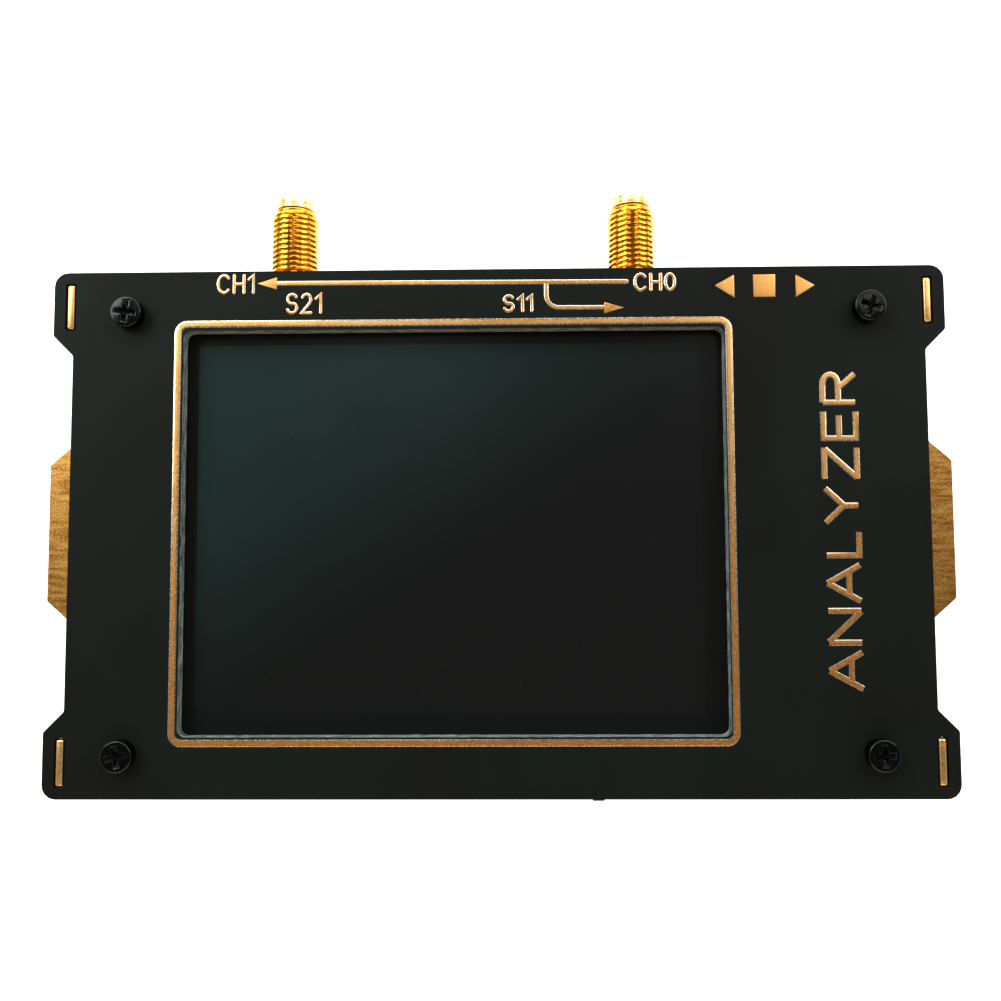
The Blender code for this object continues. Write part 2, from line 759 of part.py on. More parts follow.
def smooth_route(points, spacing):
    """Points along a smooth curve through the given ones, at least one for each spacing."""
    ends = [points[0] * 2 - points[1], *points, points[-1] * 2 - points[-2]]
    route = []
    for i in range(1, len(ends) - 2):
        before, here, ahead, after = ends[i - 1 : i + 3]
        steps = max(2, round((ahead - here).length / spacing))
        for step in range(steps):
            t = step / steps
            a = 2 * here + (ahead - before) * t
            b = (2 * before - 5 * here + 4 * ahead - after) * t * t
            c = (3 * here - before - 3 * ahead + after) * t * t * t
            route.append((a + b + c) / 2)
    return [*route, points[-1]]


def wire(name, points, radius, finish):
    curve = bpy.data.curves.new(name, "CURVE")
    curve.dimensions = "3D"
    curve.bevel_depth = radius
    curve.bevel_resolution = 2
    curve.use_fill_caps = True
    route = smooth_route(points, 5 * radius)
    spline = curve.splines.new("POLY")
    spline.points.add(len(route) - 1)
    for point, centre in zip(spline.points, route):
        point.co = (*centre, 1)
    return place(name, curve, finish)


def make_battery():
    tape_z = (BACK_Z1 + GAP, BACK_Z1 + GAP + TAPE_T)
    cell_z = (tape_z[1] + GAP, tape_z[1] + GAP + CELL_T)
    margin = 6 * MM
    tape_x = (CELL_X[0] + margin, CELL_X[1] - margin)
    tape_y = (CELL_Y[0] + margin, CELL_Y[1] - margin)
    box("battery_tape", tape_x, tape_y, tape_z, "foam_tape")
    cell = box("battery_cell", CELL_X, CELL_Y, cell_z, "cell_foil")
    soften(cell, 1.2 * MM, 3)
    make_battery_leads(cell_z[0] + CELL_T / 2)


def make_battery_leads(cell_middle):
    plug_z = (BOARD_Z0 - FIT - 2.9 * MM, BOARD_Z0 - FIT - 0.7 * MM)
    lead_z = (plug_z[0] + plug_z[1]) / 2
    middle_y = (CELL_Y[0] + CELL_Y[1]) / 2
    for name, finish, side in (
        ("battery_lead_red", "red_wire", 1),
        ("battery_lead_black", "black_wire", -1),
    ):
        offset = side * LEAD_PITCH / 2
        start = Vector((CELL_X[1] + GAP, middle_y + 2 * offset, cell_middle))
        end = Vector((PLUG_X[0] - GAP, PLUG_Y + offset, lead_z))
        straight = Vector((1.6 * MM, 0, 0))
        rise = Vector((0, 0, 0.4 * MM))
        points = [start, start + straight, (start + end) / 2 + rise, end - straight, end]
        wire(name, points, LEAD_R, finish)
    half = 2.6 * MM
    box("battery_plug", PLUG_X, (PLUG_Y - half, PLUG_Y + half), plug_z, "white_plastic", 0.15 * MM)
    socket_y = (PLUG_Y - half - 0.8 * MM, PLUG_Y + half + 0.8 * MM)
    socket_z = (BOARD_Z0 - FIT - 3.6 * MM, BOARD_Z0 - FIT)
    socket = box("battery_socket", SOCKET_X, socket_y, socket_z, "white_plastic")
    hollow = (
        2 * (PLUG_X[1] - SOCKET_X[0] + GAP),
        2 * (half + SLOT_FIT),
        plug_z[1] - plug_z[0] + 2 * SLOT_FIT,
    )
    centre_z = lead_z - (socket_z[0] + socket_z[1]) / 2
    edge = -(SOCKET_X[1] - SOCKET_X[0]) / 2
    cutter("battery_socket_hollow", box_mesh("socket_hollow", hollow), socket, (edge, 0, centre_z))


# Circuits on the main board -------------------------------------------------


def make_shield_cans():
    """Thin metal lids that are open towards the board."""
    top = BOARD_Z0 - FIT
    for channel, x in PORT_X.items():
        name = f"{channel}_shield_can"
        lid = box(
            name,
            (x - CAN_W / 2, x + CAN_W / 2),
            (CAN_Y - CAN_D / 2, CAN_Y + CAN_D / 2),
            (top - CAN_H, top),
            "steel",
        )
        hollow = (CAN_W - 2 * CAN_WALL, CAN_D - 2 * CAN_WALL, CAN_H)
        cutter(f"{channel}_can_hollow", box_mesh("can_hollow", hollow), lid, (0, 0, CAN_WALL))


# Chips: centre x and y, size, and whether they are on the front of the board
CHIPS = {
    "processor_chip": ((46.5, 8.0), (7.0, 7.0, 1.4), True, "chip"),
    "signal_source_chip": ((-5.0, 26.0), (4.0, 4.0, 0.9), False, "chip"),
    "mixer_chip": ((-5.0, 19.0), (3.0, 3.0, 0.9), False, "chip"),
    "charger_chip": ((-32.0, -28.0), (4.0, 3.0, 1.1), False, "chip"),
    "power_inductor": ((-40.0, -27.5), (5.0, 5.0, 3.0), False, "chip"),
    "crystal": ((46.5, -2.5), (3.2, 2.5, 0.9), True, "steel"),
    "status_lamp": ((2.0, -31.6), (1.6, 0.8, 0.7), True, "lamp"),
}


def make_chips():
    for name, (centre, size, on_front, finish) in CHIPS.items():
        x, y = (value * MM for value in centre)
        width, depth, height = (value * MM for value in size)
        z0 = BOARD_Z1 + FIT if on_front else BOARD_Z0 - FIT - height
        box(
            name,
            (x - width / 2, x + width / 2),
            (y - depth / 2, y + depth / 2),
            (z0, z0 + height),
            finish,
        )


make_panels()
make_side_boards()
make_main_board()
make_screws()
make_standoffs()
make_ports()
make_buttons()
make_power_switch()
make_usb_socket()
make_display()
make_ribbon()
make_battery()
make_shield_cans()
make_chips()
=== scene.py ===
# %% [markdown]
# # A pocket vector network analyser
#
# The instrument is a sandwich of black circuit boards round a touch screen. This notebook dresses
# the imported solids: it keeps the plates and boards as they are, and stands finer pieces in for
# the screws, ports, switches, chips and battery. Everything is in metres in the solids' own
# frame, with the screen looking along +Z and the two coaxial ports pointing along +Y.

# %% Load the fixed frame
import random
from math import cos, pi, radians, sin

import bmesh
import bpy
from mathutils import Matrix, Vector


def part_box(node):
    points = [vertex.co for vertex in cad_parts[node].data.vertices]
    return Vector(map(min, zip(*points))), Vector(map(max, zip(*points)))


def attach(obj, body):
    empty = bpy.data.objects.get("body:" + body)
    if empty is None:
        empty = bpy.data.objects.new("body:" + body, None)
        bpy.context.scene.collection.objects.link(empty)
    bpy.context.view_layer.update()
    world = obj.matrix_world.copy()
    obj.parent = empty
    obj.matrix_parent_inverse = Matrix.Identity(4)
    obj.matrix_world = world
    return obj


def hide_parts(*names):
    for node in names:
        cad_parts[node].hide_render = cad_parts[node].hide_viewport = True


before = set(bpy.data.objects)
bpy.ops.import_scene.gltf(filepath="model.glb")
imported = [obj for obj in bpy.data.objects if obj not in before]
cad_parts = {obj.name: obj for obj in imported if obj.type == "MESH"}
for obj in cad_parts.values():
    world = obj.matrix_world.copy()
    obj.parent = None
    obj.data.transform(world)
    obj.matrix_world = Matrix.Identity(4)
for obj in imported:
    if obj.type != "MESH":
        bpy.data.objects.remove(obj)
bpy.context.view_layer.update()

# %% [markdown]
# ## Where things are
#
# A node's box gives its place, so each piece is put by the solid that it belongs to. The drawing
# on the front plate is measured in millimetres from the plate's centre, as a maker would mark it
# out.

# %% Landmarks
MM = 0.001
CASE = "case"
CORNERS = ("upper_left", "upper_right", "lower_left", "lower_right")


def span(node):
    """A node's lowest corner, highest corner and centre."""
    low, high = (Vector(corner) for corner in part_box(node))
    return low, high, (low + high) / 2


PLATE_LOW, PLATE_HIGH, PLATE_CENTRE = span("front_panel")
BACK_LOW, BACK_HIGH, _ = span("back_panel")
BOARD_LOW, BOARD_HIGH, _ = span("main_board")
FACE_Z = PLATE_HIGH.z


def on_plate(x, y, z=0.0):
    """A point on the front plate's face, in millimetres from its centre."""
    return Vector((PLATE_CENTRE.x + x * MM, PLATE_CENTRE.y + y * MM, FACE_Z + z * MM))


print("front face at", round(FACE_Z, 5), "plate centre", [round(v, 5) for v in PLATE_CENTRE])

# %% [markdown]
# ## Shader maths as arithmetic
#
# A material's pattern is a small formula, so it is written as one. `Wire` wraps a node's output,
# and its operators add Math nodes. `Finish` holds one material, and its `node` method makes any
# other node from its type, its settings and the values or wires of its sockets.

# %% Wires and finishes


class Wire:
    """One output of a material's nodes, ready for arithmetic."""

    def __init__(self, finish, socket):
        self.finish = finish
        self.socket = socket

    def out(self, name):
        """Another output of the same node."""
        return Wire(self.finish, self.socket.node.outputs[name])

    def __add__(self, other):
        return self.finish.math("ADD", self, other)

    def __sub__(self, other):
        return self.finish.math("SUBTRACT", self, other)

    def __rsub__(self, other):
        return self.finish.math("SUBTRACT", other, self)

    def __mul__(self, other):
        return self.finish.math("MULTIPLY", self, other)

    __radd__ = __add__
    __rmul__ = __mul__


class Finish:
    """One Principled material, made of nodes."""

    def __init__(self, name, roughness=0.5, metallic=0.0, **constants):
        self.material = bpy.data.materials.new(name)
        self.material.use_nodes = True
        self.tree = self.material.node_tree
        self.shader = self.tree.nodes["Principled BSDF"]
        self.feed(roughness=roughness, metallic=metallic, **constants)

    def node(self, kind, settings=None, sockets=None):
        """Any node: its settings are set first, and then its sockets' values or wires."""
        made = self.tree.nodes.new(kind)
        for key, value in (settings or {}).items():
            setattr(made, key, value)
        for key, value in (sockets or {}).items():
            self.connect(made.inputs[key], value)
        return Wire(self, made.outputs[0])

    def connect(self, socket, value):
        if isinstance(value, Wire):
            self.tree.links.new(value.socket, socket)
        elif socket.type == "RGBA":
            socket.default_value = (*value, 1)
        else:
            socket.default_value = value

    def feed(self, **inputs):
        """Values or wires for the shader: base_color stands for Base Color, and so on."""
        for key, value in inputs.items():
            title = key.replace("_", " ").title().replace("Ior", "IOR")
            self.connect(self.shader.inputs[title], value)

    def math(self, operation, *values):
        return self.node("ShaderNodeMath", {"operation": operation}, dict(enumerate(values)))

    def spot(self, stretch=(1, 1, 1)):
        """The surface point in millimetres, stretched along each axis."""
        point = self.node("ShaderNodeTexCoord").out("Object")
        scale = [value / MM for value in stretch]
        return self.node("ShaderNodeVectorMath", {"operation": "MULTIPLY"}, {0: point, 1: scale})

    def facing(self, letter):
        """1 where the surface looks along an axis, either way, and 0 where it looks across it."""
        normal = self.node("ShaderNodeTexCoord").out("Normal")
        along = self.node("ShaderNodeSeparateXYZ", None, {0: normal}).out(letter)
        return self.rise(self.math("ABSOLUTE", along), 0.55, 0.75)

    def along(self, letter):
        """One coordinate of the surface point, in millimetres."""
        return self.node("ShaderNodeSeparateXYZ", None, {0: self.spot()}).out(letter)

    def noise(self, scale, detail=3.0, stretch=(1, 1, 1)):
        sockets = {"Vector": self.spot(stretch), "Scale": scale, "Detail": detail}
        return self.node("ShaderNodeTexNoise", None, sockets)

    def rise(self, value, low, high, to_low=0.0, to_high=1.0):
        """Goes smoothly from to_low to to_high as the value goes from low to high."""
        sockets = {"Value": value, "From Min": low, "From Max": high}
        sockets |= {"To Min": to_low, "To Max": to_high}
        return self.node("ShaderNodeMapRange", {"interpolation_type": "SMOOTHSTEP"}, sockets)

    def band(self, place, low, high, soft):
        """1 between two places along an axis, and 0 outside them."""
        begun = self.rise(place, low - soft, low + soft)
        return begun * (1 - self.rise(place, high - soft, high + soft))

    def blend(self, share, first, second):
        """A colour between two, by a share that may vary."""
        made = self.node("ShaderNodeMix", {"data_type": "RGBA"}, {0: share, 6: first, 7: second})
        return Wire(self, made.socket.node.outputs[2])

    def relief(self, height, depth):
        """Bumps: height is about 0 to 1, and depth is what 1 stands for, in millimetres."""
        bump = self.node("ShaderNodeBump", None, {"Height": height, "Distance": depth * MM})
        self.feed(normal=bump)


FINISHES = {}


def keep(name, paint):
    """Files a material under its name, for the pieces to ask for."""
    FINISHES[name] = paint.material
    print("finish", name, "-", len(paint.tree.nodes), "nodes")


def finish(make):
    """Makes a material as soon as its function is written, and keeps it by the function's name."""
    keep(make.__name__, make(make.__name__))
    return make


# %% [markdown]
# ## Board finishes
#
# A printed board is glass cloth in resin under a thin coat of solder mask. The mask is matte with
# a fine grain, and it stops at the routed edge, where the pale cut glass shows. One material does
# both: the surface normal tells a face from an edge.

# %% Solder mask and routed edge
SLOT_X = (54.05, 56.35)


def cut_glass(paint):
    """Colour of a routed edge: pale resin between layers of cut glass cloth."""
    layers = paint.noise(1.8, 2.0, (0.3, 0.3, 3.6))
    fine = paint.noise(9.0, 2.0, (0.5, 0.5, 1.2))
    share = paint.rise(layers * 0.7 + fine * 0.3, 0.42, 0.62)
    return paint.blend(share, (0.035, 0.046, 0.041), (0.27, 0.30, 0.28))


@finish
def solder_mask(name):
    paint = Finish(name, specular_ior_level=0.07)
    cloud = paint.noise(0.045, 4.0)
    grain = paint.noise(7.0, 3.0)
    smear = paint.noise(0.35, 5.0, (1, 0.4, 1))
    neutral, greenish = (0.0052, 0.0060, 0.0052), (0.0055, 0.0080, 0.0068)
    mask = paint.blend(paint.rise(cloud, 0.35, 0.65), neutral, greenish)
    mask = paint.blend(paint.rise(grain, 0.62, 0.8) * 0.25, mask, (0.02, 0.024, 0.021))
    face = paint.facing("Z")
    reach = paint.math("ABSOLUTE", paint.along("X"))
    # Painted shade: the routed walls where the side boards' tabs pass, between these two reaches
    # from the centre, are painted near black, as shade in the slot gaps.
    slot = paint.band(reach, *SLOT_X, 0.05)
    edge = paint.blend(slot, cut_glass(paint), (0.010, 0.009, 0.007))
    paint.feed(base_color=paint.blend(face, edge, mask))
    matte = paint.rise(smear, 0.3, 0.75, 0.43, 0.49) + grain * 0.05
    paint.feed(roughness=face * matte + (1 - face) * 0.75)
    weave = paint.noise(1.6, 2.0)
    paint.relief(grain * 0.6 + weave * 0.4, 0.008)
    return paint


# %% [markdown]
# ## Gold finishes
#
# The lettering, frame and arrows are copper under a thin flash of gold, a little rough and
# uneven. Towards the lower edge the gold is painted a deeper orange, a painted warm reflection. The
# ports are turned brass under bright gold, smoother and deeper in colour. The ears of the main
# board show the weave of the glass cloth through their plating, as ripples across them.

# %% Gold art, bright gold, plated ears and side boards


@finish
def gold_art(name):
    paint = Finish(name, metallic=1.0)
    patch = paint.noise(0.12, 4.0)
    grain = paint.noise(5.0, 4.0)
    warm = paint.blend(paint.rise(patch, 0.3, 0.7), (0.82, 0.34, 0.065), (0.92, 0.49, 0.14))
    # Painted reflection: the gold turns a deeper orange towards the lower edge, as if mirroring
    # warm light from that side.
    painted_warm_reflection = 1 - paint.rise(paint.along("Y"), -32.0, 18.0)
    warm = paint.blend(painted_warm_reflection, warm, (0.98, 0.34, 0.045))
    fleck = paint.rise(grain, 0.5, 0.75) * (0.5 - painted_warm_reflection * 0.3)
    paint.feed(base_color=paint.blend(fleck, warm, (0.95, 0.72, 0.42)))
    paint.feed(roughness=paint.rise(grain, 0.3, 0.7, 0.28, 0.46))
    paint.relief(grain, 0.012)
    return paint


@finish
def gold_edge(name):
    """The smooth rounded shoulder of a gold line, painted paler than its middle: a painted sheen.
    """
    paint = Finish(name, metallic=1.0)
    patch = paint.noise(0.5, 3.0)
    paint.feed(base_color=paint.blend(patch, (0.78, 0.62, 0.42), (0.92, 0.80, 0.64)))
    paint.feed(roughness=paint.rise(paint.noise(4.0, 3.0), 0.3, 0.7, 0.18, 0.30))
    paint.relief(patch, 0.004)
    return paint


@finish
def bright_gold(name):
    paint = Finish(name, metallic=1.0)
    patch = paint.noise(0.6, 3.0)
    streak = paint.noise(3.0, 3.0, (1, 0.15, 1))
    paint.feed(base_color=paint.blend(patch, (0.90, 0.34, 0.018), (0.98, 0.45, 0.045)))
    paint.feed(roughness=paint.rise(streak, 0.3, 0.7, 0.11, 0.20))
    paint.relief(streak, 0.002)
    return paint


@finish
def rim_gold(name):
    """The pilot in front of the thread: shiny, and painted pale in streaks, a painted sheen."""
    paint = Finish(name, metallic=1.0)
    sheen_streaks = paint.noise(1.4, 4.0, (0.3, 2, 0.3))
    # Painted sheen: streaks of the pilot are painted pale, as blown highlights.
    pilot_sheen = paint.rise(sheen_streaks, 0.35, 0.65)
    paint.feed(base_color=paint.blend(pilot_sheen, (0.98, 0.50, 0.10), (1.0, 0.70, 0.34)))
    paint.feed(roughness=paint.rise(sheen_streaks, 0.3, 0.7, 0.16, 0.28))
    paint.relief(sheen_streaks, 0.002)
    return paint


def tracks(paint):
    """Copper tracks under the mask: fine parallel lines that turn from patch to patch."""
    across = paint.math("PINGPONG", paint.along("Y"), 0.4)
    upward = paint.math("PINGPONG", paint.along("X"), 0.4)
    patch = paint.rise(paint.noise(0.16, 0.0), 0.49, 0.51)
    line = patch * paint.rise(across, 0.18, 0.22) + (1 - patch) * paint.rise(upward, 0.18, 0.22)
    return line * paint.rise(paint.noise(0.3, 1.0), 0.5, 0.52)


@finish
def populated_board(name):
    """Black mask over the main board, and gold on the ears that stand out of the case."""
    paint = Finish(name, specular_ior_level=0.15)
    ear = paint.rise(paint.math("ABSOLUTE", paint.along("X")), 55.0, 55.1)
    ripple = paint.noise(0.8, 4.0, (0.5, 2.4, 1))
    thread = paint.noise(3.2, 4.0, (1.0, 1.8, 1))
    weave = ripple * 0.5 + thread * 0.5
    gold = paint.blend(paint.rise(weave, 0.36, 0.62), (0.46, 0.165, 0.02), (0.80, 0.42, 0.10))
    gold = paint.blend(paint.rise(thread, 0.58, 0.66) * 0.8, gold, (0.88, 0.62, 0.30))
    track = tracks(paint)
    mask = paint.blend(track, (0.008, 0.012, 0.010), (0.018, 0.028, 0.023))
    board = paint.blend(paint.facing("Z"), cut_glass(paint), mask)
    paint.feed(base_color=paint.blend(ear, board, gold), metallic=ear)
    paint.feed(roughness=ear * paint.rise(weave, 0.3, 0.7, 0.28, 0.38) + (1 - ear) * 0.45)
    paint.relief(ear * weave + (1 - ear) * track * 0.5, 0.02)
    return paint


@finish
def plated_side(name):
    """Black mask on the broad faces, and gold plating round the edges and the tabs."""
    paint = Finish(name, specular_ior_level=0.15)
    broad = paint.facing("X")
    grain = paint.noise(7.0, 3.0)
    ripple = paint.noise(3.0, 3.0, (0.5, 3.0, 1))
    gold = paint.blend(paint.rise(ripple, 0.35, 0.65), (0.74, 0.40, 0.13), (0.88, 0.56, 0.24))
    mask = paint.blend(grain, (0.008, 0.011, 0.009), (0.011, 0.015, 0.012))
    paint.feed(base_color=paint.blend(broad, gold, mask), metallic=1 - broad)
    paint.feed(roughness=broad * 0.46 + (1 - broad) * paint.rise(ripple, 0.3, 0.7, 0.28, 0.42))
    paint.relief(ripple * (1 - broad) + grain * broad * 0.4, 0.012)
    return paint


# %% [markdown]
# ## Metal, plastic and rubber finishes
#
# The rest of the pieces share two plain recipes: a metal with a grain along one axis, and a
# moulded plastic with a fine spark-eroded texture. Each recipe is a function, and a table gives
# every finish its own tones and gloss.

# %% Recipes for metals and plastics


def metal(name, dark, light, low, high, stretch=(1, 1, 1), depth=0.003):
    """Metal whose tone and gloss follow one grain."""
    paint = Finish(name, metallic=1.0)
    grain = paint.noise(3.0, 4.0, stretch)
    patch = paint.noise(0.3, 3.0)
    paint.feed(base_color=paint.blend(grain * 0.6 + patch * 0.4, dark, light))
    paint.feed(roughness=paint.rise(grain, 0.3, 0.7, low, high))
    paint.relief(grain, depth)
    return paint


def moulding(name, dark, light, low, high, depth=0.006, **constants):
    """Moulded plastic or resin: nearly one colour, with a fine grain and a few rubbed patches."""
    paint = Finish(name, **constants)
    grain = paint.noise(11.0, 3.0)
    patch = paint.noise(0.8, 3.0)
    paint.feed(base_color=paint.blend(grain * 0.5 + patch * 0.5, dark, light))
    paint.feed(roughness=paint.rise(patch, 0.3, 0.7, low, high))
    paint.relief(grain, depth)
    return paint


# %% Metals and mouldings
# Each row is a dark and a light tone and the roughness from and to. A grain's stretch and the depth
# of its relief follow where they differ from the usual.
METALS = {
    "black_oxide": ((0.014, 0.015, 0.015), (0.030, 0.032, 0.031), 0.12, 0.22),
    # The next two rows are painted light on the screw heads: a paler oxide for their broken edges,
    # a painted highlight, and a darker one for their recesses, a painted shade.
    "oxide_edge_highlight": ((0.16, 0.175, 0.17), (0.42, 0.44, 0.43), 0.25, 0.4),
    "oxide_recess_shade": ((0.004, 0.004, 0.004), (0.010, 0.011, 0.011), 0.45, 0.6),
    "turned_brass": ((0.62, 0.40, 0.13), (0.85, 0.62, 0.26), 0.22, 0.38, (1, 1, 0.1)),
    "drawn_steel": ((0.50, 0.50, 0.48), (0.72, 0.72, 0.70), 0.22, 0.40, (0.15, 1, 1)),
    "tinned": ((0.55, 0.56, 0.56), (0.80, 0.80, 0.79), 0.2, 0.45, (1, 1, 1), 0.01),
    "pouch_foil": ((0.52, 0.53, 0.54), (0.74, 0.75, 0.76), 0.28, 0.44, (0.4, 1, 1), 0.05),
}
MOULDINGS = {
    "fluoropolymer": ((0.74, 0.73, 0.69), (0.88, 0.87, 0.83), 0.38, 0.5),
    "black_moulding": ((0.012, 0.012, 0.013), (0.022, 0.022, 0.023), 0.42, 0.6),
    "white_moulding": ((0.68, 0.68, 0.64), (0.82, 0.82, 0.79), 0.4, 0.55),
    "package_resin": ((0.016, 0.016, 0.018), (0.03, 0.03, 0.033), 0.5, 0.65, 0.01),
    "capacitor_body": ((0.30, 0.19, 0.10), (0.42, 0.29, 0.17), 0.45, 0.6),
    "ferrite": ((0.05, 0.05, 0.053), (0.085, 0.085, 0.09), 0.5, 0.7, 0.02),
    "foam": ((0.05, 0.05, 0.05), (0.12, 0.12, 0.12), 0.8, 0.95, 0.05),
    "red_silicone": ((0.42, 0.012, 0.012), (0.58, 0.03, 0.025), 0.35, 0.5),
    "black_silicone": ((0.012, 0.012, 0.012), (0.025, 0.025, 0.025), 0.35, 0.5),
    "picture_panel": ((0.010, 0.014, 0.014), (0.016, 0.022, 0.022), 0.2, 0.3, 0.001),
}
LENS = ((0.55, 0.60, 0.52), (0.75, 0.80, 0.70), 0.15, 0.25)

for name, row in METALS.items():
    keep(name, metal(name, *row))
for name, row in MOULDINGS.items():
    keep(name, moulding(name, *row))
keep("lamp_lens", moulding("lamp_lens", *LENS, coat_weight=0.5))

# %% [markdown]
# ## The screen and the flexible circuit
#
# Switched off, the screen is a sheet of dark glass with a painted teal sheen, a painted reflection
# that grows towards its upper left. Its picture area is a shade lighter than the black border
# printed round it, so the material draws that rectangle from the surface point. The ribbon is
# amber film over fine copper lines, which run along it.

# %% Touch glass and ribbon
VIEW_X = (-38.9, 26.4)
VIEW_Y = (-26.2, 24.3)
VIEW_BLUR = 0.12


@finish
def touch_glass(name):
    paint = Finish(name, specular_ior_level=0.12)
    shift = PLATE_CENTRE.y / MM
    across = paint.band(paint.along("X"), *VIEW_X, VIEW_BLUR)
    picture = across * paint.band(paint.along("Y"), VIEW_Y[0] + shift, VIEW_Y[1] + shift, VIEW_BLUR)
    cloud = paint.noise(0.05, 2.0)
    dust = paint.rise(paint.noise(2.6, 1.0), 0.78, 0.83)
    # Painted sheen: the picture area lightens to teal towards the upper left, a painted reflection.
    screen_sheen = paint.rise(paint.along("Y") * 0.6 - paint.along("X") * 0.4, -5.0, 19.0)
    screen_sheen = screen_sheen * paint.rise(cloud, 0.2, 0.6, 0.8, 1.0)
    teal = paint.blend(screen_sheen, (0.0055, 0.0062, 0.0062), (0.0088, 0.0195, 0.019))
    shown = paint.blend(picture, (0.0048, 0.0052, 0.0052), teal)
    paint.feed(base_color=paint.blend(dust * 0.12, shown, (0.2, 0.22, 0.22)))
    smear = paint.noise(0.12, 4.0, (1, 2.2, 1))
    paint.feed(roughness=paint.rise(smear, 0.35, 0.7, 0.25, 0.27) + dust * 0.06)
    return paint


@finish
def amber_film(name):
    paint = Finish(name, roughness=0.3, coat_weight=0.3)
    line = paint.rise(paint.math("PINGPONG", paint.along("Y"), 0.4), 0.16, 0.22)
    cloud = paint.noise(0.5, 3.0)
    film = paint.blend(cloud, (0.30, 0.12, 0.018), (0.42, 0.19, 0.03))
    paint.feed(base_color=paint.blend(line, film, (0.62, 0.31, 0.07)))
    paint.feed(roughness=paint.rise(cloud, 0.3, 0.7, 0.22, 0.38))
    paint.relief(line, 0.02)
    return paint


# %% [markdown]
# ## Making solid shapes
#
# Nearly everything here is a stack of outlines: a screw, a pin, a chip and a raised letter all
# have sections that change from one end to the other. So the one shape tool is `loft`, which
# joins rings of points into a skin and caps its ends. Each piece's mesh is made in place, in the
# solids' frame.

# %% Lofts, lathes and blocks


def loft(shape, rings, capped=True, looped=False, part=0, sides=None):
    """Joins rings of equally many points. A looped stack comes back to its first ring.

    Every face takes the same part of the piece's finishes, unless sides gives one for each strip.
    """
    made = [[shape.verts.new(point) for point in ring] for ring in rings]
    pairs = list(zip(made, made[1:] + (made[:1] if looped else [])))
    for lower, upper in pairs:
        for i in range(len(lower)):
            j = (i + 1) % len(lower)
            face = shape.faces.new((lower[i], lower[j], upper[j], upper[i]))
            face.material_index = sides[i] if sides else part
    if capped and not looped:
        shape.faces.new(reversed(made[0])).material_index = part
        shape.faces.new(made[-1]).material_index = part


def circle(radius, z, steps=48, place=Matrix()):
    turns = (2 * pi * i / steps for i in range(steps))
    return [place @ Vector((radius * cos(a), radius * sin(a), z)) for a in turns]


def lathe(shape, profile, place=Matrix(), steps=48, looped=False, part=0):
    """A turned shape from its radii and heights."""
    loft(shape, [circle(r, z, steps, place) for r, z in profile], True, looped, part)


def rounded(half_x, half_y, radius, steps=4):
    """A rectangle with round corners, about the origin."""
    corners = [(1, 1, 0), (-1, 1, 90), (-1, -1, 180), (1, -1, 270)]
    points = []
    for side_x, side_y, start in corners:
        centre = Vector((side_x * (half_x - radius), side_y * (half_y - radius)))
        for i in range(steps + 1):
            angle = radians(start + 90 * i / steps)
            points.append(centre + radius * Vector((cos(angle), sin(angle))))
    return points


def block(shape, low, high, radius=0.0002, edge=0.0001, place=Matrix(), part=0, steps=3):
    """A box with round upright corners and a small chamfer round its top and bottom."""
    low, high = Vector(low), Vector(high)
    middle, half = (low + high) / 2, (high - low) / 2
    radius = min(radius, half.x * 0.95, half.y * 0.95)
    edge = min(edge, half.z * 0.9, radius * 0.9)
    rings = []
    for z, inset in ((-half.z, edge), (-half.z + edge, 0), (half.z - edge, 0), (half.z, edge)):
        outline = rounded(half.x - inset, half.y - inset, radius - inset, steps)
        rings.append([place @ (middle + Vector((p.x, p.y, z))) for p in outline])
    loft(shape, rings, part=part)


def mesh_object(name, shape, finishes):
    """An object in the scene, from a finished shape and the names of its finishes."""
    bmesh.ops.recalc_face_normals(shape, faces=shape.faces)
    mesh = bpy.data.meshes.new(name)
    shape.to_mesh(mesh)
    shape.free()
    for key in finishes:
        mesh.materials.append(FINISHES[key])
    made = bpy.data.objects.new(name, mesh)
    bpy.context.scene.collection.objects.link(made)
    return made


def piece(name, shape, finishes, body=CASE, stands_for=(), crease=35):
    """Turns a finished shape into a piece of the model that rides on its body."""
    made = mesh_object(name, shape, [finishes] if isinstance(finishes, str) else finishes)
    made.data.shade_smooth()
    made.data.set_sharp_from_angle(angle=radians(crease))
    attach(made, body)
    if stands_for:
        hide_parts(*stands_for)
    print("piece", name, len(made.data.polygons), "faces")


# %% [markdown]
# ## Keeping the plates and boards
#
# The routed plates and the main board already have their true outlines, slots and holes, so those
# solids stay and only get a finish. So do plain inner pieces whose shape is right.

# %% Finishes for the solids that stay
KEPT = {
    "solder_mask": ("front_panel", "back_panel"),
    "populated_board": ("main_board",),
    "touch_glass": ("touch_panel",),
    "picture_panel": ("lcd_panel",),
    "white_moulding": ("display_tray", "battery_socket", "battery_plug"),
    "amber_film": ("display_ribbon",),
    "foam": ("battery_tape",),
    "red_silicone": ("battery_lead_red",),
    "black_silicone": ("battery_lead_black",),
    "fluoropolymer": ("ch0_port_insulator", "ch1_port_insulator"),
    "drawn_steel": ("usb_shell", "power_switch_body"),
    "black_moulding": (
        "left_button_body", "centre_button_body", "right_button_body", "usb_tongue",
    ),
}
for key, nodes in KEPT.items():
    for node in nodes:
        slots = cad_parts[node].material_slots
        for place in slots:
            place.material = FINISHES[key]
        print(node, "keeps its shape and gets", key, "in", len(slots), "slot")

# %% [markdown]
# ## Side boards
#
# The side boards are routed too, but their tabs are what shows at the front, and plating rounds a
# tab's edges off. So each is a copy of its solid's mesh with a small bevel on every sharp edge.

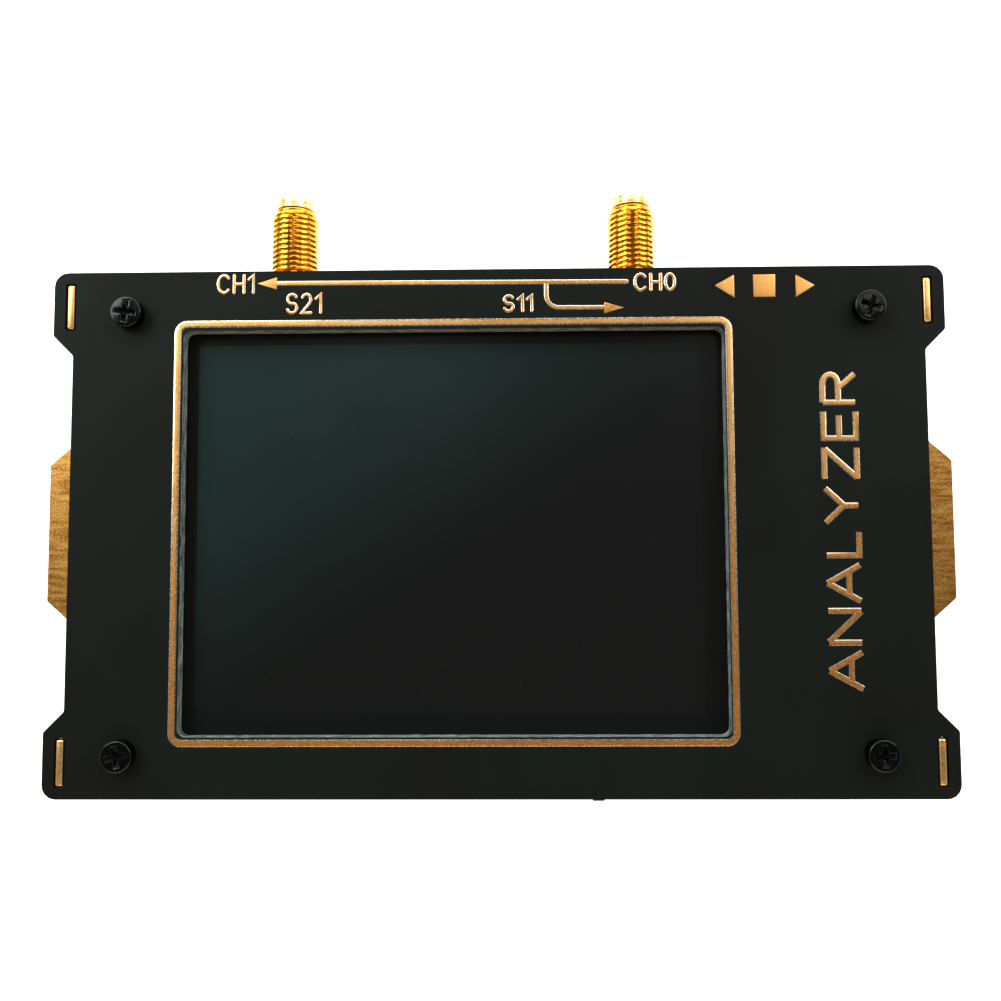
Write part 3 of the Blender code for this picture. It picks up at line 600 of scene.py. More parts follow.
# %% Side boards with softened edges
TAB_ROUND = 0.28 * MM
for side in ("left", "right"):
    node = f"{side}_side_board"
    shape = bmesh.new()
    shape.from_mesh(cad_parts[node].data)
    bmesh.ops.remove_doubles(shape, verts=shape.verts, dist=0.001 * MM)
    bmesh.ops.dissolve_limit(shape, angle_limit=radians(1), verts=shape.verts, edges=shape.edges)
    sharp = [edge for edge in shape.edges if edge.calc_face_angle(0) > radians(40)]
    bmesh.ops.bevel(shape, geom=sharp, offset=TAB_ROUND, segments=3, profile=0.5, affect="EDGES")
    piece(f"{side}_plated_board", shape, "plated_side", stands_for=(node,))

# %% [markdown]
# ## Raised lines
#
# The gold art is a layer of plated copper that stands a few hundredths of a millimetre proud of
# the mask, with soft shoulders that catch the light. A line of it is swept along its path with a
# section that is flat on top and falls away at both sides, and its ends are rounded as a plotter
# leaves them.

# %% Sweep a raised line
ART_HEIGHT = 0.045
SHOULDERS = (
    (-1, -0.02), (-1, 0.25), (-0.82, 0.72), (-0.52, 1),
    (0.52, 1), (0.82, 0.72), (1, 0.25), (1, -0.02),
)
# The flat top takes the gold art. The shoulders and underside take a paler gold, a painted sheen.
SHOULDER_PARTS = (1, 1, 1, 0, 1, 1, 1, 1)
END_STEPS = 4
ART = ("gold_art", "gold_edge")


def sideways(before, here, after):
    """The mitre at a point of a path: across it, longer where the path turns."""
    first = (here - before).normalized() if here != before else (after - here).normalized()
    second = (after - here).normalized() if after != here else first
    across = Vector((-(first + second).y, (first + second).x)).normalized()
    return across / max(0.5, across.dot(Vector((-first.y, first.x))))


def line(shape, path, width, closed=False, height=ART_HEIGHT, blunt=False):
    """A raised line along points in millimetres, swept with the shouldered section."""
    points = [Vector(point) for point in path]
    count = len(points)
    stations = []
    for i, here in enumerate(points):
        before = points[i - 1] if closed or i else here
        after = points[(i + 1) % count] if closed or i < count - 1 else here
        stations.append((here, sideways(before, here, after) * width / 2))
    if not closed and not blunt:
        stations = round_end(stations[0], -1)[::-1] + stations + round_end(stations[-1], 1)
    rings = []
    for here, half in stations:
        ring = [here + half * across for across, _ in SHOULDERS]
        rings.append([on_plate(p.x, p.y, height * up) for p, (_, up) in zip(ring, SHOULDERS)])
    loft(shape, rings, looped=closed, sides=SHOULDER_PARTS)


def round_end(station, way):
    """Narrowing stations that round off the end of a line."""
    here, half = station
    onward = Vector((half.y, -half.x)) * way
    turns = [radians(80 * (i + 1) / END_STEPS) for i in range(END_STEPS)]
    return [(here + onward * sin(a), half * cos(a)) for a in turns]


def plate_shape(shape, outline, height=ART_HEIGHT, shoulder=0.09):
    """A raised patch inside an outline, with the same soft shoulders."""
    points = [Vector(point) for point in outline]
    count = len(points)
    ways = [sideways(points[i - 1], points[i], points[(i + 1) % count]) for i in range(count)]
    rings = []
    for inset, up in ((0, -0.02), (0, 0.3), (0.4, 0.8), (1, 1)):
        ring = [p + way * shoulder * inset for p, way in zip(points, ways)]
        rings.append([on_plate(p.x, p.y, height * up) for p in ring])
    loft(shape, rings)


# %% [markdown]
# ## The gold frame, arrows and signs
#
# The frame runs round the window a hair's breadth from its edge. Above it, a long arrow leads
# from the right port to the left one, for the signal through a device, and a short branch turns
# back, for the signal reflected from it. Three signs mark the push buttons.

# %% Window frame
FRAME_OUTER = (-41.5, 30.22, -27.1, 27.12)
FRAME_WIDTH = 0.88
FRAME_RADIUS = 1.65


def frame_line():
    left, right, bottom, top = FRAME_OUTER
    half = FRAME_WIDTH / 2
    middle = Vector(((left + right) / 2, (bottom + top) / 2))
    outline = rounded((right - left) / 2 - half, (top - bottom) / 2 - half, FRAME_RADIUS - half, 6)
    return [middle + p for p in outline]


shape = bmesh.new()
line(shape, frame_line(), FRAME_WIDTH, closed=True)
piece("art_window_frame", shape, ART)

# %% Signal arrows
ARROW_LINE = 0.6


def bow(x, y, rx, ry, start, stop, steps=12):
    """Points along part of an ellipse, its angles in degrees."""
    turns = (radians(start + (stop - start) * i / steps) for i in range(steps + 1))
    return [(x + rx * cos(a), y + ry * sin(a)) for a in turns]


shape = bmesh.new()
line(shape, [(-28.4, 31.95), (16.8, 31.78)], ARROW_LINE)
plate_shape(shape, [(-30.80, 31.97), (-28.35, 31.18), (-28.35, 32.76)], height=ART_HEIGHT * 1.1)
piece("art_arrow_through", shape, ART)

shape = bmesh.new()
branch = [(6.5, 31.7)] + bow(8.06, 30.03, 1.56, 1.56, 180, 270, 6) + [(14.3, 28.44)]
line(shape, branch, ARROW_LINE * 0.9, height=ART_HEIGHT * 0.96)
plate_shape(shape, [(16.4, 28.40), (13.95, 29.11), (13.95, 27.69)], height=ART_HEIGHT * 1.1)
piece("art_arrow_reflected", shape, ART)

# %% Button signs
SIGNS = {
    "left": [(28.13, 31.15), (30.57, 29.6), (30.57, 32.52)],
    "centre": [(33.04, 29.62), (35.83, 29.62), (35.83, 32.54), (33.04, 32.54)],
    "right": [(40.86, 31.1), (38.46, 32.47), (38.46, 29.6)],
}
for side, outline in SIGNS.items():
    shape = bmesh.new()
    plate_shape(shape, outline, shoulder=0.13)
    piece(f"art_sign_{side}", shape, ART)

# %% [markdown]
# ## Lettering
#
# A board house draws letters as strokes of one pen, so each letter is a few paths in a box one
# unit square, and `word` fits a row of them between two places. Channel and parameter labels are
# the usual ones of any such instrument, and a plain word stands at the right.

# %% A stroke alphabet
LETTERS = {
    "A": (0.96, [[(0, 0), (0.5, 1)], [(0.5, 1), (1, 0)], [(0.2, 0.34), (0.8, 0.34)]]),
    "C": (0.80, [bow(0.52, 0.5, 0.52, 0.5, 42, 318, 16)]),
    "E": (0.72, [[(1, 1), (0, 1), (0, 0), (1, 0)], [(0, 0.52), (0.86, 0.52)]]),
    "H": (0.70, [[(0, 0), (0, 1)], [(1, 0), (1, 1)], [(0, 0.5), (1, 0.5)]]),
    "L": (0.62, [[(0, 1), (0, 0), (1, 0)]]),
    "N": (0.84, [[(0, 0), (0, 1)], [(1, 0), (1, 1)], [(0.02, 1), (0.98, 0)]]),
    "R": (0.78, [
        [(0, 0), (0, 1)],
        [(0, 1), (0.5, 1)] + bow(0.62, 0.76, 0.36, 0.24, 70, -90, 8) + [(0.06, 0.52)],
        [(0.5, 0.52), (1, 0)],
    ]),
    "S": (0.66, [
        bow(0.5, 0.745, 0.46, 0.255, 25, 250, 10) + bow(0.5, 0.26, 0.5, 0.26, 70, -160, 10),
    ]),
    "Y": (0.92, [[(0, 1), (0.5, 0.44)], [(1, 1), (0.5, 0.44)], [(0.5, 0.48), (0.5, 0)]]),
    "Z": (0.84, [[(0, 1), (1, 1)], [(0, 0), (1, 0)], [(0.96, 0.98), (0.04, 0.02)]]),
    "0": (0.66, [bow(0.5, 0.5, 0.5, 0.5, 0, 360, 20)[:-1]]),
    "1": (0.32, [[(0, 0.76), (1, 1), (1, 0)]]),
    "2": (0.64, [bow(0.5, 0.7, 0.46, 0.3, 155, -38, 10) + [(0, 0), (1, 0)]]),
}
LETTER_GAP = 0.34


def word(name, text, along, across, pen, upright=False):
    """A word between two places along its line and two across it, all in millimetres."""
    gap = LETTER_GAP * (0.75 if upright else 1)
    widths = [LETTERS[letter][0] for letter in text]
    natural = sum(widths) + gap * (len(text) - 1)
    low, high = across[0] + pen / 2, across[1] - pen / 2
    start, stop = along[0] + pen / 2, along[1] - pen / 2
    stretch = (stop - start) / natural
    shape = bmesh.new()
    for letter, width in zip(text, widths):
        for i, stroke in enumerate(LETTERS[letter][1]):
            path = [(start + x * width * stretch, low + y * (high - low)) for x, y in stroke]
            if upright:
                path = [(low + high - v, u) for u, v in path]
            line(shape, path, pen, letter == "0", ART_HEIGHT * (1 - 0.04 * i), blunt=upright)
        start += (width + gap) * stretch
    piece(name, shape, ART)


# %% Labels
LABEL_PEN = 0.36
word("art_label_port_left", "CH1", (-36.15, -31.2), (30.6, 33.25), LABEL_PEN)
word("art_label_through", "S21", (-27.14, -22.45), (27.9, 30.68), LABEL_PEN)
word("art_label_reflected", "S11", (0.88, 4.80), (27.88, 30.25), LABEL_PEN)
word("art_label_port_right", "CH0", (17.70, 23.17), (30.49, 32.92), LABEL_PEN)
word("art_label_kind", "ANALYZER", (-20.48, 19.96), (41.1, 45.95), 0.74, upright=True)

# %% [markdown]
# ## Screws
#
# Eight black pan-head screws with cross recesses clamp the plates. The head is turned: a flat
# seat, a short upright rim and a nearly flat top. Two crossed blades, wider at the top, cut the
# recess as the punch that forms it does, and leave a rougher finish in it, painted darker as a
# painted shade. A bevel then breaks the sharp edges and takes a paler finish, a painted highlight
# that shows as thin bright lines. One head is made, and each screw is a turned copy of it on a
# threaded shank.

# %% Screw head and shank
HEAD_R = 2.0 * MM
SHANK_R = 0.95 * MM
RIM_ROUND = 0.24 * MM
CROWN = 0.08 * MM
RECESS = 0.85 * MM
BROKEN_EDGE = 0.06 * MM
# The plain oxide, its painted highlight for the broken edges, and its painted shade for the recess.
HEAD_FINISHES = ("black_oxide", "oxide_edge_highlight", "oxide_recess_shade")


def head_profile(height):
    """A pan head from its seat to its crown: nearly flat on top, with a rounded rim."""
    shoulder = height - RIM_ROUND - CROWN
    turns = [radians(90 * i / 6) for i in range(7)]
    edge = [(HEAD_R - RIM_ROUND * (1 - cos(a)), shoulder + RIM_ROUND * sin(a)) for a in turns]
    seat = [(HEAD_R - BROKEN_EDGE, 0.0), (HEAD_R, BROKEN_EDGE)]
    return seat + edge + [(HEAD_R * 0.6, height - CROWN * 0.3), (0.7 * MM, height)]


def cross_cutter(height):
    """The punch: two crossed tapered blades, from above the crown down to the recess's floor."""
    top, floor = height + 0.3 * MM, height - RECESS
    tools = []
    for turn in (0, pi / 2):
        shape = bmesh.new()
        spin = Matrix.Rotation(turn, 4, "Z")
        rings = []
        for z, long, wide in ((floor, 0.62, 0.18), (top, 1.70, 0.44)):
            corners = ((long, wide), (-long, wide), (-long, -wide), (long, -wide))
            rings.append([spin @ Vector((x * MM, y * MM, z)) for x, y in corners])
        loft(shape, rings)
        tools.append(shape)
    return tools


def hidden(name, shape, part=0):
    """A tool or pattern for a modifier. Its faces bring their finish into the cut."""
    for face in shape.faces:
        face.material_index = part
    return mesh_object(name, shape, HEAD_FINISHES)


def head_mesh(height):
    """The head with its recess cut and its edges broken, about the origin."""
    shape = bmesh.new()
    lathe(shape, head_profile(height))
    pattern = hidden("head_pattern", shape)
    # The punch's faces become the recess walls and take the darker oxide: painted shade in the
    # recess.
    tools = [hidden(f"punch_{i}", shape, 2) for i, shape in enumerate(cross_cutter(height))]
    for tool in tools:
        cut = pattern.modifiers.new("recess", "BOOLEAN")
        cut.operation = "DIFFERENCE"
        cut.object = tool
    soft = pattern.modifiers.new("broken edges", "BEVEL")
    soft.width = BROKEN_EDGE
    # The bevel's faces take the paler oxide: a painted highlight along the broken edges.
    soft.material = 1
    soft.segments = 2
    soft.limit_method = "ANGLE"
    soft.angle_limit = radians(40)
    bpy.context.view_layer.update()
    graph = bpy.context.evaluated_depsgraph_get()
    mesh = bpy.data.meshes.new_from_object(pattern.evaluated_get(graph))
    for item in [pattern] + tools:
        bpy.data.objects.remove(item)
    return mesh


def thread_rings(low, high, major, depth, pitch, steps, rows_per_turn, place=Matrix(), taper=0.0):
    """Rings whose radius follows a helix. It fades at both ends and tapers at the upper one."""
    rows = int((high - low) / pitch * rows_per_turn)
    rings = []
    for i in range(rows + 1):
        z = low + (high - low) * i / rows
        fade = min(1.0, (z - low) / (0.7 * pitch), (high - z) / (0.7 * pitch))
        ring = []
        for j in range(steps):
            phase = (z / pitch - j / steps) % 1
            crest = 1 - abs(2 * phase - 1)
            flank = min(1.0, max(0.0, 1.9 * crest - 0.12))
            radius = major - depth * (1 - flank * fade) - max(0.0, taper - (high - z)) * 0.35
            angle = 2 * pi * j / steps
            ring.append(place @ Vector((radius * cos(angle), radius * sin(angle), z)))
        rings.append(ring)
    return rings


# %% Eight screws
TURNS = {"front": (-7, -20, 10, 3), "back": (25, 50, -20, 5)}
TIP_R = 0.55 * MM
SCREW_PITCH = 0.4 * MM
SCREW_DEPTH = 0.12 * MM
SCREW_STEPS = 24
HEAD_H = span("front_screw_upper_left")[1].z - FACE_Z
head = head_mesh(HEAD_H)
print("head", round(HEAD_H / MM, 3), "mm high,", len(head.polygons), "faces")


def shank(shape, tip, place):
    """The threaded part, from its tip up into the head."""
    thread = (SHANK_R, SCREW_DEPTH, SCREW_PITCH, SCREW_STEPS, 6, place)
    rings = [circle(TIP_R, tip, SCREW_STEPS, place)]
    rings += thread_rings(tip + 0.1 * MM, -0.2 * MM, *thread)
    rings.append(circle(SHANK_R, 0.05 * MM, SCREW_STEPS, place))
    loft(shape, rings)


for side, turns in TURNS.items():
    seat, flip = (FACE_Z, 0) if side == "front" else (BACK_LOW.z, pi)
    for corner, turn in zip(CORNERS, turns):
        node = f"{side}_screw_{corner}"
        low, high, centre = span(node)
        place = Matrix.Translation((centre.x, centre.y, seat)) @ Matrix.Rotation(flip, 4, "X")
        place = place @ Matrix.Rotation(radians(turn), 4, "Z")
        shape = bmesh.new()
        shape.from_mesh(head)
        shape.transform(place)
        shank(shape, HEAD_H - (high.z - low.z), place)
        piece(node + "_turned", shape, HEAD_FINISHES, stands_for=(node,), crease=30)

# %% [markdown]
# ## Standoffs
#
# Hexagonal brass posts hold the boards apart. A lathe chamfers a post's ends before it is cut
# off, so each end is a circle that touches the flats, and the hexagon grows out of it: the ring's
# radius is the lesser of the hexagon's and the chamfer cone's.

# %% Hexagonal posts
FLATS = 4.0 * MM
CONE = 0.22 * MM
BORE_R = 1.02 * MM
BORE_CHAMFER = 0.12 * MM
POST_STEPS = 72


def hexagon(limit, z, place):
    """A hexagon's outline, cut back to a circle where it would reach past the limit."""
    ring = []
    for i in range(POST_STEPS):
        angle = 2 * pi * i / POST_STEPS
        wedge = (angle + pi / 6) % (pi / 3) - pi / 6
        radius = min(FLATS / 2 / cos(wedge), limit)
        ring.append(place @ Vector((radius * cos(angle), radius * sin(angle), z)))
    return ring


def post(name, node, low_z, high_z):
    """A post between two boards, with a bore from end to end."""
    centre = span(node)[2]
    place = Matrix.Translation((centre.x, centre.y, low_z))
    length = high_z - low_z
    end, full = FLATS / 2 * 0.97, FLATS / 2 / cos(pi / 6)
    mouth = BORE_R + BORE_CHAMFER
    outside = ((end, 0), (full, CONE), (full, length - CONE), (end, length))
    bore = ((mouth, length), (BORE_R, length - BORE_CHAMFER), (BORE_R, BORE_CHAMFER), (mouth, 0))
    shape = bmesh.new()
    rings = [hexagon(limit, z, place) for limit, z in outside]
    rings += [circle(radius, z, POST_STEPS, place) for radius, z in bore]
    loft(shape, rings, looped=True)
    piece(name, shape, "turned_brass", stands_for=(node,), crease=25)


for corner in CORNERS:
    post(f"front_post_{corner}", f"front_standoff_{corner}", BOARD_HIGH.z, PLATE_LOW.z)
    post(f"back_post_{corner}", f"back_standoff_{corner}", BACK_HIGH.z, BOARD_LOW.z)

# %% [markdown]
# ## Coaxial ports
#
# Each port is one turned jack: a square flange with four solder legs, a threaded barrel, and a
# short pilot, painted pale as a painted sheen, with a mouth for the plug. The thread is the 1/4-36
# one, so its pitch is 25.4 mm over 36. It is a real helix in the mesh, because its outline shows
# against the light.
# The rings run up the outside, over the rim and back down the bore, which closes the body without
# caps.

# %% Port bodies
PITCH = 25.4 / 36 * MM
THREAD_R = 3.12 * MM
THREAD_LOW, THREAD_HIGH = 2.2 * MM, 12.95 * MM
THREAD_TAPER = 1.3 * MM
ROOT_DEPTH = 0.22 * MM
NECK_R = 2.66 * MM
PORT_LENGTH = 14.5 * MM
PORT_STEPS = 72
PILOT = [
    (2.6, 13.05), (2.58, 13.1), (2.58, 14.12), (2.5, 14.28), (2.42, 14.36), (2.34, 14.36),
    (2.29, 14.3), (2.25, 14.2), (2.25, 12.7),
]
BORE = [(2.2, 12.6), (2.08, 12.6), (2.05, 12.55), (2.05, 0.2)]
FLANGE = (9.5 * MM, 7.8 * MM, 1.7 * MM)
FLANGE_HOLE_R = 2.4 * MM
LEG = 1.0 * MM
LEG_X = 4.2 * MM
LEG_GAP = 0.12 * MM


def port_place(channel):
    """The port's own axes: its axis is +Z, from the flange's back to the rim."""
    tip = span(f"{channel}_port_body")[1].y
    axis = span(f"{channel}_port_insulator")[2]
    at = Matrix.Translation((axis.x, tip - PORT_LENGTH, axis.z))
    return at @ Matrix.Rotation(-pi / 2, 4, "X")


def barrel(shape, place):
    """Neck, thread, pilot, rim, mouth and bore, as one closed skin. The pilot's strips take the
    pale gold of the painted sheen.
    """
    thread = (THREAD_R, ROOT_DEPTH, PITCH, PORT_STEPS, 10, place, THREAD_TAPER)
    rings = [circle(NECK_R, z * MM, PORT_STEPS, place) for z in (0.2, 2.0)]
    rings += thread_rings(THREAD_LOW, THREAD_HIGH, *thread)
    pilot_sheen = len(rings)
    rings += [circle(r * MM, z * MM, PORT_STEPS, place) for r, z in PILOT + BORE]
    start = len(shape.faces)
    loft(shape, rings, looped=True)
    shape.faces.ensure_lookup_table()
    first = start + pilot_sheen * PORT_STEPS
    for face in shape.faces[first:first + (len(PILOT) - 1) * PORT_STEPS]:
        face.material_index = 1


def flange(shape, place):
    """A square plate with soft corners and a hole for the neck."""
    wide, tall, thick = FLANGE
    rings = []
    for z, inset in ((0, 0.1), (0.1, 0), (thick / MM - 0.1, 0), (thick / MM, 0.1)):
        outline = rounded(wide / 2 - inset * MM, tall / 2 - inset * MM, 0.5 * MM, 11)
        rings.append([place @ Vector((p.x, p.y, z * MM)) for p in outline])
    hole = [p.normalized() * FLANGE_HOLE_R for p in outline]
    for z in (thick, 0):
        rings.append([place @ Vector((*p, z)) for p in hole])
    loft(shape, rings, looped=True)


def legs(shape, place, low):
    """Four square legs that straddle the board, with slightly tapered tips."""
    axis = place.translation
    over = axis.z - BOARD_LOW.z + LEG_GAP + LEG / 2
    under = axis.z - BOARD_HIGH.z - LEG_GAP - LEG / 2
    corner = Vector((LEG / 2, LEG / 2, 0))
    reach, root = Vector((0, 0, axis.y - low.y)), Vector((0, 0, 0.3 * MM))
    for x in (-LEG_X, LEG_X):
        for y in (over, under):
            at = Vector((x, y, 0))
            block(shape, at - corner - reach, at + corner + root, 0.18 * MM, 0.16 * MM, place)


CONTACT = [
    (0.30, -2.9), (0.36, -2.8), (0.38, -2.6), (0.38, -0.2), (0.5, -0.1), (0.63, 0.1),
    (0.63, 12.3), (0.6, 12.52), (0.55, 12.58), (0.50, 12.55), (0.47, 12.4), (0.47, 10.1),
    (0.02, 10.0),
]
for channel in ("ch0", "ch1"):
    place = port_place(channel)
    node = f"{channel}_port_body"
    shape = bmesh.new()
    barrel(shape, place)
    flange(shape, place)
    legs(shape, place, span(node)[0])
    finishes = ("bright_gold", "rim_gold")
    piece(f"{channel}_jack", shape, finishes, stands_for=(node,))
    node = f"{channel}_port_contact"
    shape = bmesh.new()
    lathe(shape, [(r * MM, z * MM) for r, z in CONTACT], place, 32)
    piece(f"{channel}_pin", shape, "bright_gold", stands_for=(node,))
    print(channel, "axis", [round(v / MM, 2) for v in place.translation])

# %% [markdown]
# ## Push buttons and the power switch
#
# A side-pressed push button is a black base under a folded steel cover, which the plunger pokes
# out of. The plunger moves, so it is a piece of its own on the button's body. The power switch's
# slider has ridges for a fingernail.

# %% Button covers and plungers


SHEET = 0.13 * MM
DIMPLE = [(0.3, -0.05), (0.28, 0.0), (0.2, 0.05), (0.08, 0.07)]


def within(low, high, x, y, z):
    """A point at two shares of a box's sides, at a height of its own."""
    return Vector((low.x + (high.x - low.x) * x, low.y + (high.y - low.y) * y, z))


def cover(shape, low, high):
    """A steel sheet folded over a base and down both sides, with four dimples on top."""
    top_low = Vector((low.x - SHEET, low.y, high.z))
    top_high = Vector((high.x + SHEET, high.y - 0.25 * MM, high.z + SHEET))
    block(shape, top_low, top_high, 0.15 * MM, 0.04 * MM)
    for x in (low.x - SHEET, high.x):
        side_low = (x, low.y + 0.5 * MM, low.z + 0.5 * MM)
        side_high = (x + SHEET, high.y - 0.5 * MM, high.z)
        block(shape, side_low, side_high, 0.05 * MM, 0.03 * MM)
    for x in (0.22, 0.78):
        for y in (0.28, 0.72):
            at = Matrix.Translation(within(low, high, x, y, high.z + SHEET))
            lathe(shape, [(r * MM, z * MM) for r, z in DIMPLE], at, 16)


def knob(shape, node, turn, radius, edge, steps=3):
    """A block that fills a node's box and rounds off towards the way it is turned."""
    low, high, centre = span(node)
    half = (high - low) / 2
    size = Vector((half.x, half.z, half.y))
    place = Matrix.Translation(centre) @ Matrix.Rotation(turn, 4, "X")
    block(shape, -size, size, radius, edge, place, steps=steps)


for side in ("left", "centre", "right"):
    low, high, _ = span(f"{side}_button_body")
    shape = bmesh.new()
    cover(shape, low, high)
    piece(f"{side}_button_cover", shape, "drawn_steel")
    node, body = f"{side}_button_plunger", f"{side}_button"
    shape = bmesh.new()
    knob(shape, node, -pi / 2, 0.35 * MM, 0.16 * MM, 5)
    piece(f"{side}_button_stem", shape, "black_moulding", body, (node,))

# %% Power slider
RIDGES = 4
RIDGE_HALF = 0.09 * MM
node = "power_switch_slider"
low, high, _ = span(node)
shape = bmesh.new()
knob(shape, node, pi / 2, 0.2 * MM, 0.1 * MM)
for i in range(RIDGES):
    x = low.x + (high.x - low.x) * (i + 0.5) / RIDGES
    ridge_low = (x - RIDGE_HALF, low.y + 0.02 * MM, high.z - 0.05 * MM)
    ridge_high = (x + RIDGE_HALF, low.y + 0.9 * MM, high.z + 0.1 * MM)
    block(shape, ridge_low, ridge_high, 0.06 * MM, 0.05 * MM)
piece("power_knob", shape, "black_moulding", "power_slider", (node,))

# %% [markdown]
# ## Chips, cans and the inductor
#
# The packages are moulded resin over a frame of tinned leads. A flat package without legs shows a
# row of pads along its sides and a small dot over its first pin. The radio circuits hide under
# drawn cans with round corners, vent holes and feet.

# %% Packages


PAD_REACH = 0.06 * MM
PAD_TALL = 0.22 * MM
PIN_DOT = [(0.28, -0.05), (0.28, 0.012), (0.2, 0.004)]


def package(name, node, pads, away=1):
    """A flat package: resin with a bevelled top, pads along all four sides, and a pin-one dot."""
    low, high, _ = span(node)
    foot, crown = (low.z, high.z) if away > 0 else (high.z, low.z)
    z0, z1 = sorted((foot, foot + PAD_TALL * away))
    shape = bmesh.new()
    block(shape, low, high, 0.12 * MM, 0.1 * MM)
    for along, across in ((1, 0), (0, 1)):
        pitch = (high[along] - low[along]) / (pads + 1)
        half = pitch * 0.28
        radius = half / 4 if along else half / 2
        for i in range(pads):
            place = low[along] + (high[along] - low[along]) * (i + 1) / (pads + 1)
            for end, out in ((low[across], -1), (high[across], 1)):
                inner, outer = sorted((end - out * PAD_REACH, end + out * PAD_REACH))
                corners = [(inner, place - half, z0), (outer, place + half, z1)]
                if across:
                    corners = [(y, x, z) for x, y, z in corners]
                block(shape, *corners, radius, radius / 2, part=1)
    dot = Matrix.Translation((low.x + 0.9 * MM, high.y - 0.9 * MM, crown))
    rise = [1, away, away]
    lathe(shape, [(r * MM, z * MM * way) for (r, z), way in zip(PIN_DOT, rise)], dot, 20)
    piece(name, shape, ("package_resin", "tinned"), stands_for=(node,))


package("processor_package", "processor_chip", 12)
package("signal_source_package", "signal_source_chip", 6, -1)
package("mixer_package", "mixer_chip", 6, -1)
package("charger_package", "charger_chip", 4, -1)

# %% Shield cans
VENTS = (7, 3)
VENT = [(0.55, -0.05), (0.55, 0.03), (0.42, 0.03), (0.38, -0.02), (0.1, -0.03)]
FEET = 4
FOOT_HALF = 0.8 * MM


def can(name, node):
    """A drawn can: soft edges, a grid of vent holes as sunken dots, and feet along its sides."""
    low, high, _ = span(node)
    shape = bmesh.new()
    block(shape, low, high, 0.8 * MM, 0.35 * MM, steps=6)
    for i in range(VENTS[0]):
        for j in range(VENTS[1]):
            at = within(low, high, (i + 1) / (VENTS[0] + 1), (j + 1) / (VENTS[1] + 1), low.z)
            vent = [(r * MM, -z * MM) for r, z in VENT]
            lathe(shape, vent, Matrix.Translation(at), 20, part=1)
    for i in range(FEET):
        x = low.x + (high.x - low.x) * (i + 0.5) / FEET
        for y, out in ((low.y, -1), (high.y, 1)):
            y0, y1 = sorted((y, y + out * 0.25 * MM))
            foot_low = (x - FOOT_HALF, y0, high.z - 0.5 * MM)
            block(shape, foot_low, (x + FOOT_HALF, y1, high.z), 0.1 * MM, 0.05 * MM)
    piece(name, shape, ("drawn_steel", "tinned"), stands_for=(node,))


can("ch0_drawn_can", "ch0_shield_can")
can("ch1_drawn_can", "ch1_shield_can")

# %% Crystal, inductor and lamp


def lidded(name, node, finishes, slot, base, lid, inset, steps=3):
    """A lid on a low base. Each gives the share of the height where it ends or starts, its corner
    and its chamfer."""
    low, high, _ = span(node)
    height = high.z - low.z
    shape = bmesh.new()
    share, radius, edge = base
    block(shape, low, (high.x, high.y, low.z + height * share), radius * MM, edge * MM, part=1)
    share, radius, edge = lid
    x, y = inset
    lid_low = (low.x + x * MM, low.y + y * MM, low.z + height * share)
    lid_high = (high.x - x * MM, high.y - y * MM, high.z)
    block(shape, lid_low, lid_high, radius * MM, edge * MM, steps=steps)
    piece(name, shape, (finishes, "white_moulding"), stands_for=(node,))


CRYSTAL = ((0.35, 0.25, 0.05), (0.3, 0.4, 0.12), (0.18, 0.18), 5)
LAMP = ((0.4, 0.05, 0.03), (0.38, 0.1, 0.12), (0.12, 0.06))
lidded("crystal_can", "crystal", "drawn_steel", "bright_steel", *CRYSTAL)

COIL_WINDOW = [(1.9, 0.1), (1.9, -0.03), (1.6, -0.03), (1.55, 0.1)]
low, high, centre = span("power_inductor")
shape = bmesh.new()
block(shape, low, high, 0.6 * MM, 0.3 * MM, steps=4)
ring = Matrix.Translation((centre.x, centre.y, low.z))
lathe(shape, [(r * MM, z * MM) for r, z in COIL_WINDOW], ring, 40, True)
piece("inductor_core", shape, "ferrite", stands_for=("power_inductor",))

lidded("lamp_dome", "status_lamp", "lamp_lens", "lamp", *LAMP)

# %% [markdown]
# ## Sockets
#
# The charging socket's tongue carries a row of gold contacts on each face, and the ribbon's
# connector is a low housing with a hinged latch and a row of solder tails.

# %% Contacts on the tongue, and the ribbon's connector
CONTACTS = 12
low, high, _ = span("usb_tongue")
shape = bmesh.new()
for i in range(CONTACTS):
    x = low.x + (high.x - low.x) * (i + 0.5) / CONTACTS
    for z, way in ((low.z, -1), (high.z, 1)):
        z0, z1 = sorted((z - way * 0.02 * MM, z + way * 0.03 * MM))
        strip_low = (x - 0.13 * MM, low.y + 0.3 * MM, z0)
        strip_high = (x + 0.13 * MM, high.y - 0.6 * MM, z1)
        block(shape, strip_low, strip_high, 0.04 * MM, 0.01 * MM)
piece("usb_contacts", shape, "bright_gold")

LATCH = 1.1 * MM
TAILS = 40
TAIL_HALF = 0.12 * MM
node = "ribbon_connector"
low, high, _ = span(node)
shape = bmesh.new()
block(shape, (low.x + LATCH * 0.8, low.y, low.z), high, 0.15 * MM, 0.08 * MM, part=1)
latch_low = (low.x, low.y + 0.3 * MM, low.z + 0.5 * MM)
latch_high = (low.x + LATCH, high.y - 0.3 * MM, high.z - 0.15 * MM)
block(shape, latch_low, latch_high, 0.2 * MM, 0.2 * MM)
for i in range(TAILS):
    y = low.y + (high.y - low.y) * (i + 0.5) / TAILS
    tail_low = (high.x - 0.05 * MM, y - TAIL_HALF, low.z)
    tail_high = (high.x + 0.5 * MM, y + TAIL_HALF, low.z + 0.12 * MM)
    block(shape, tail_low, tail_high, 0.04 * MM, 0.03 * MM, part=2)
finishes = ("black_moulding", "white_moulding", "tinned")
piece("ribbon_latch", shape, finishes, stands_for=(node,))

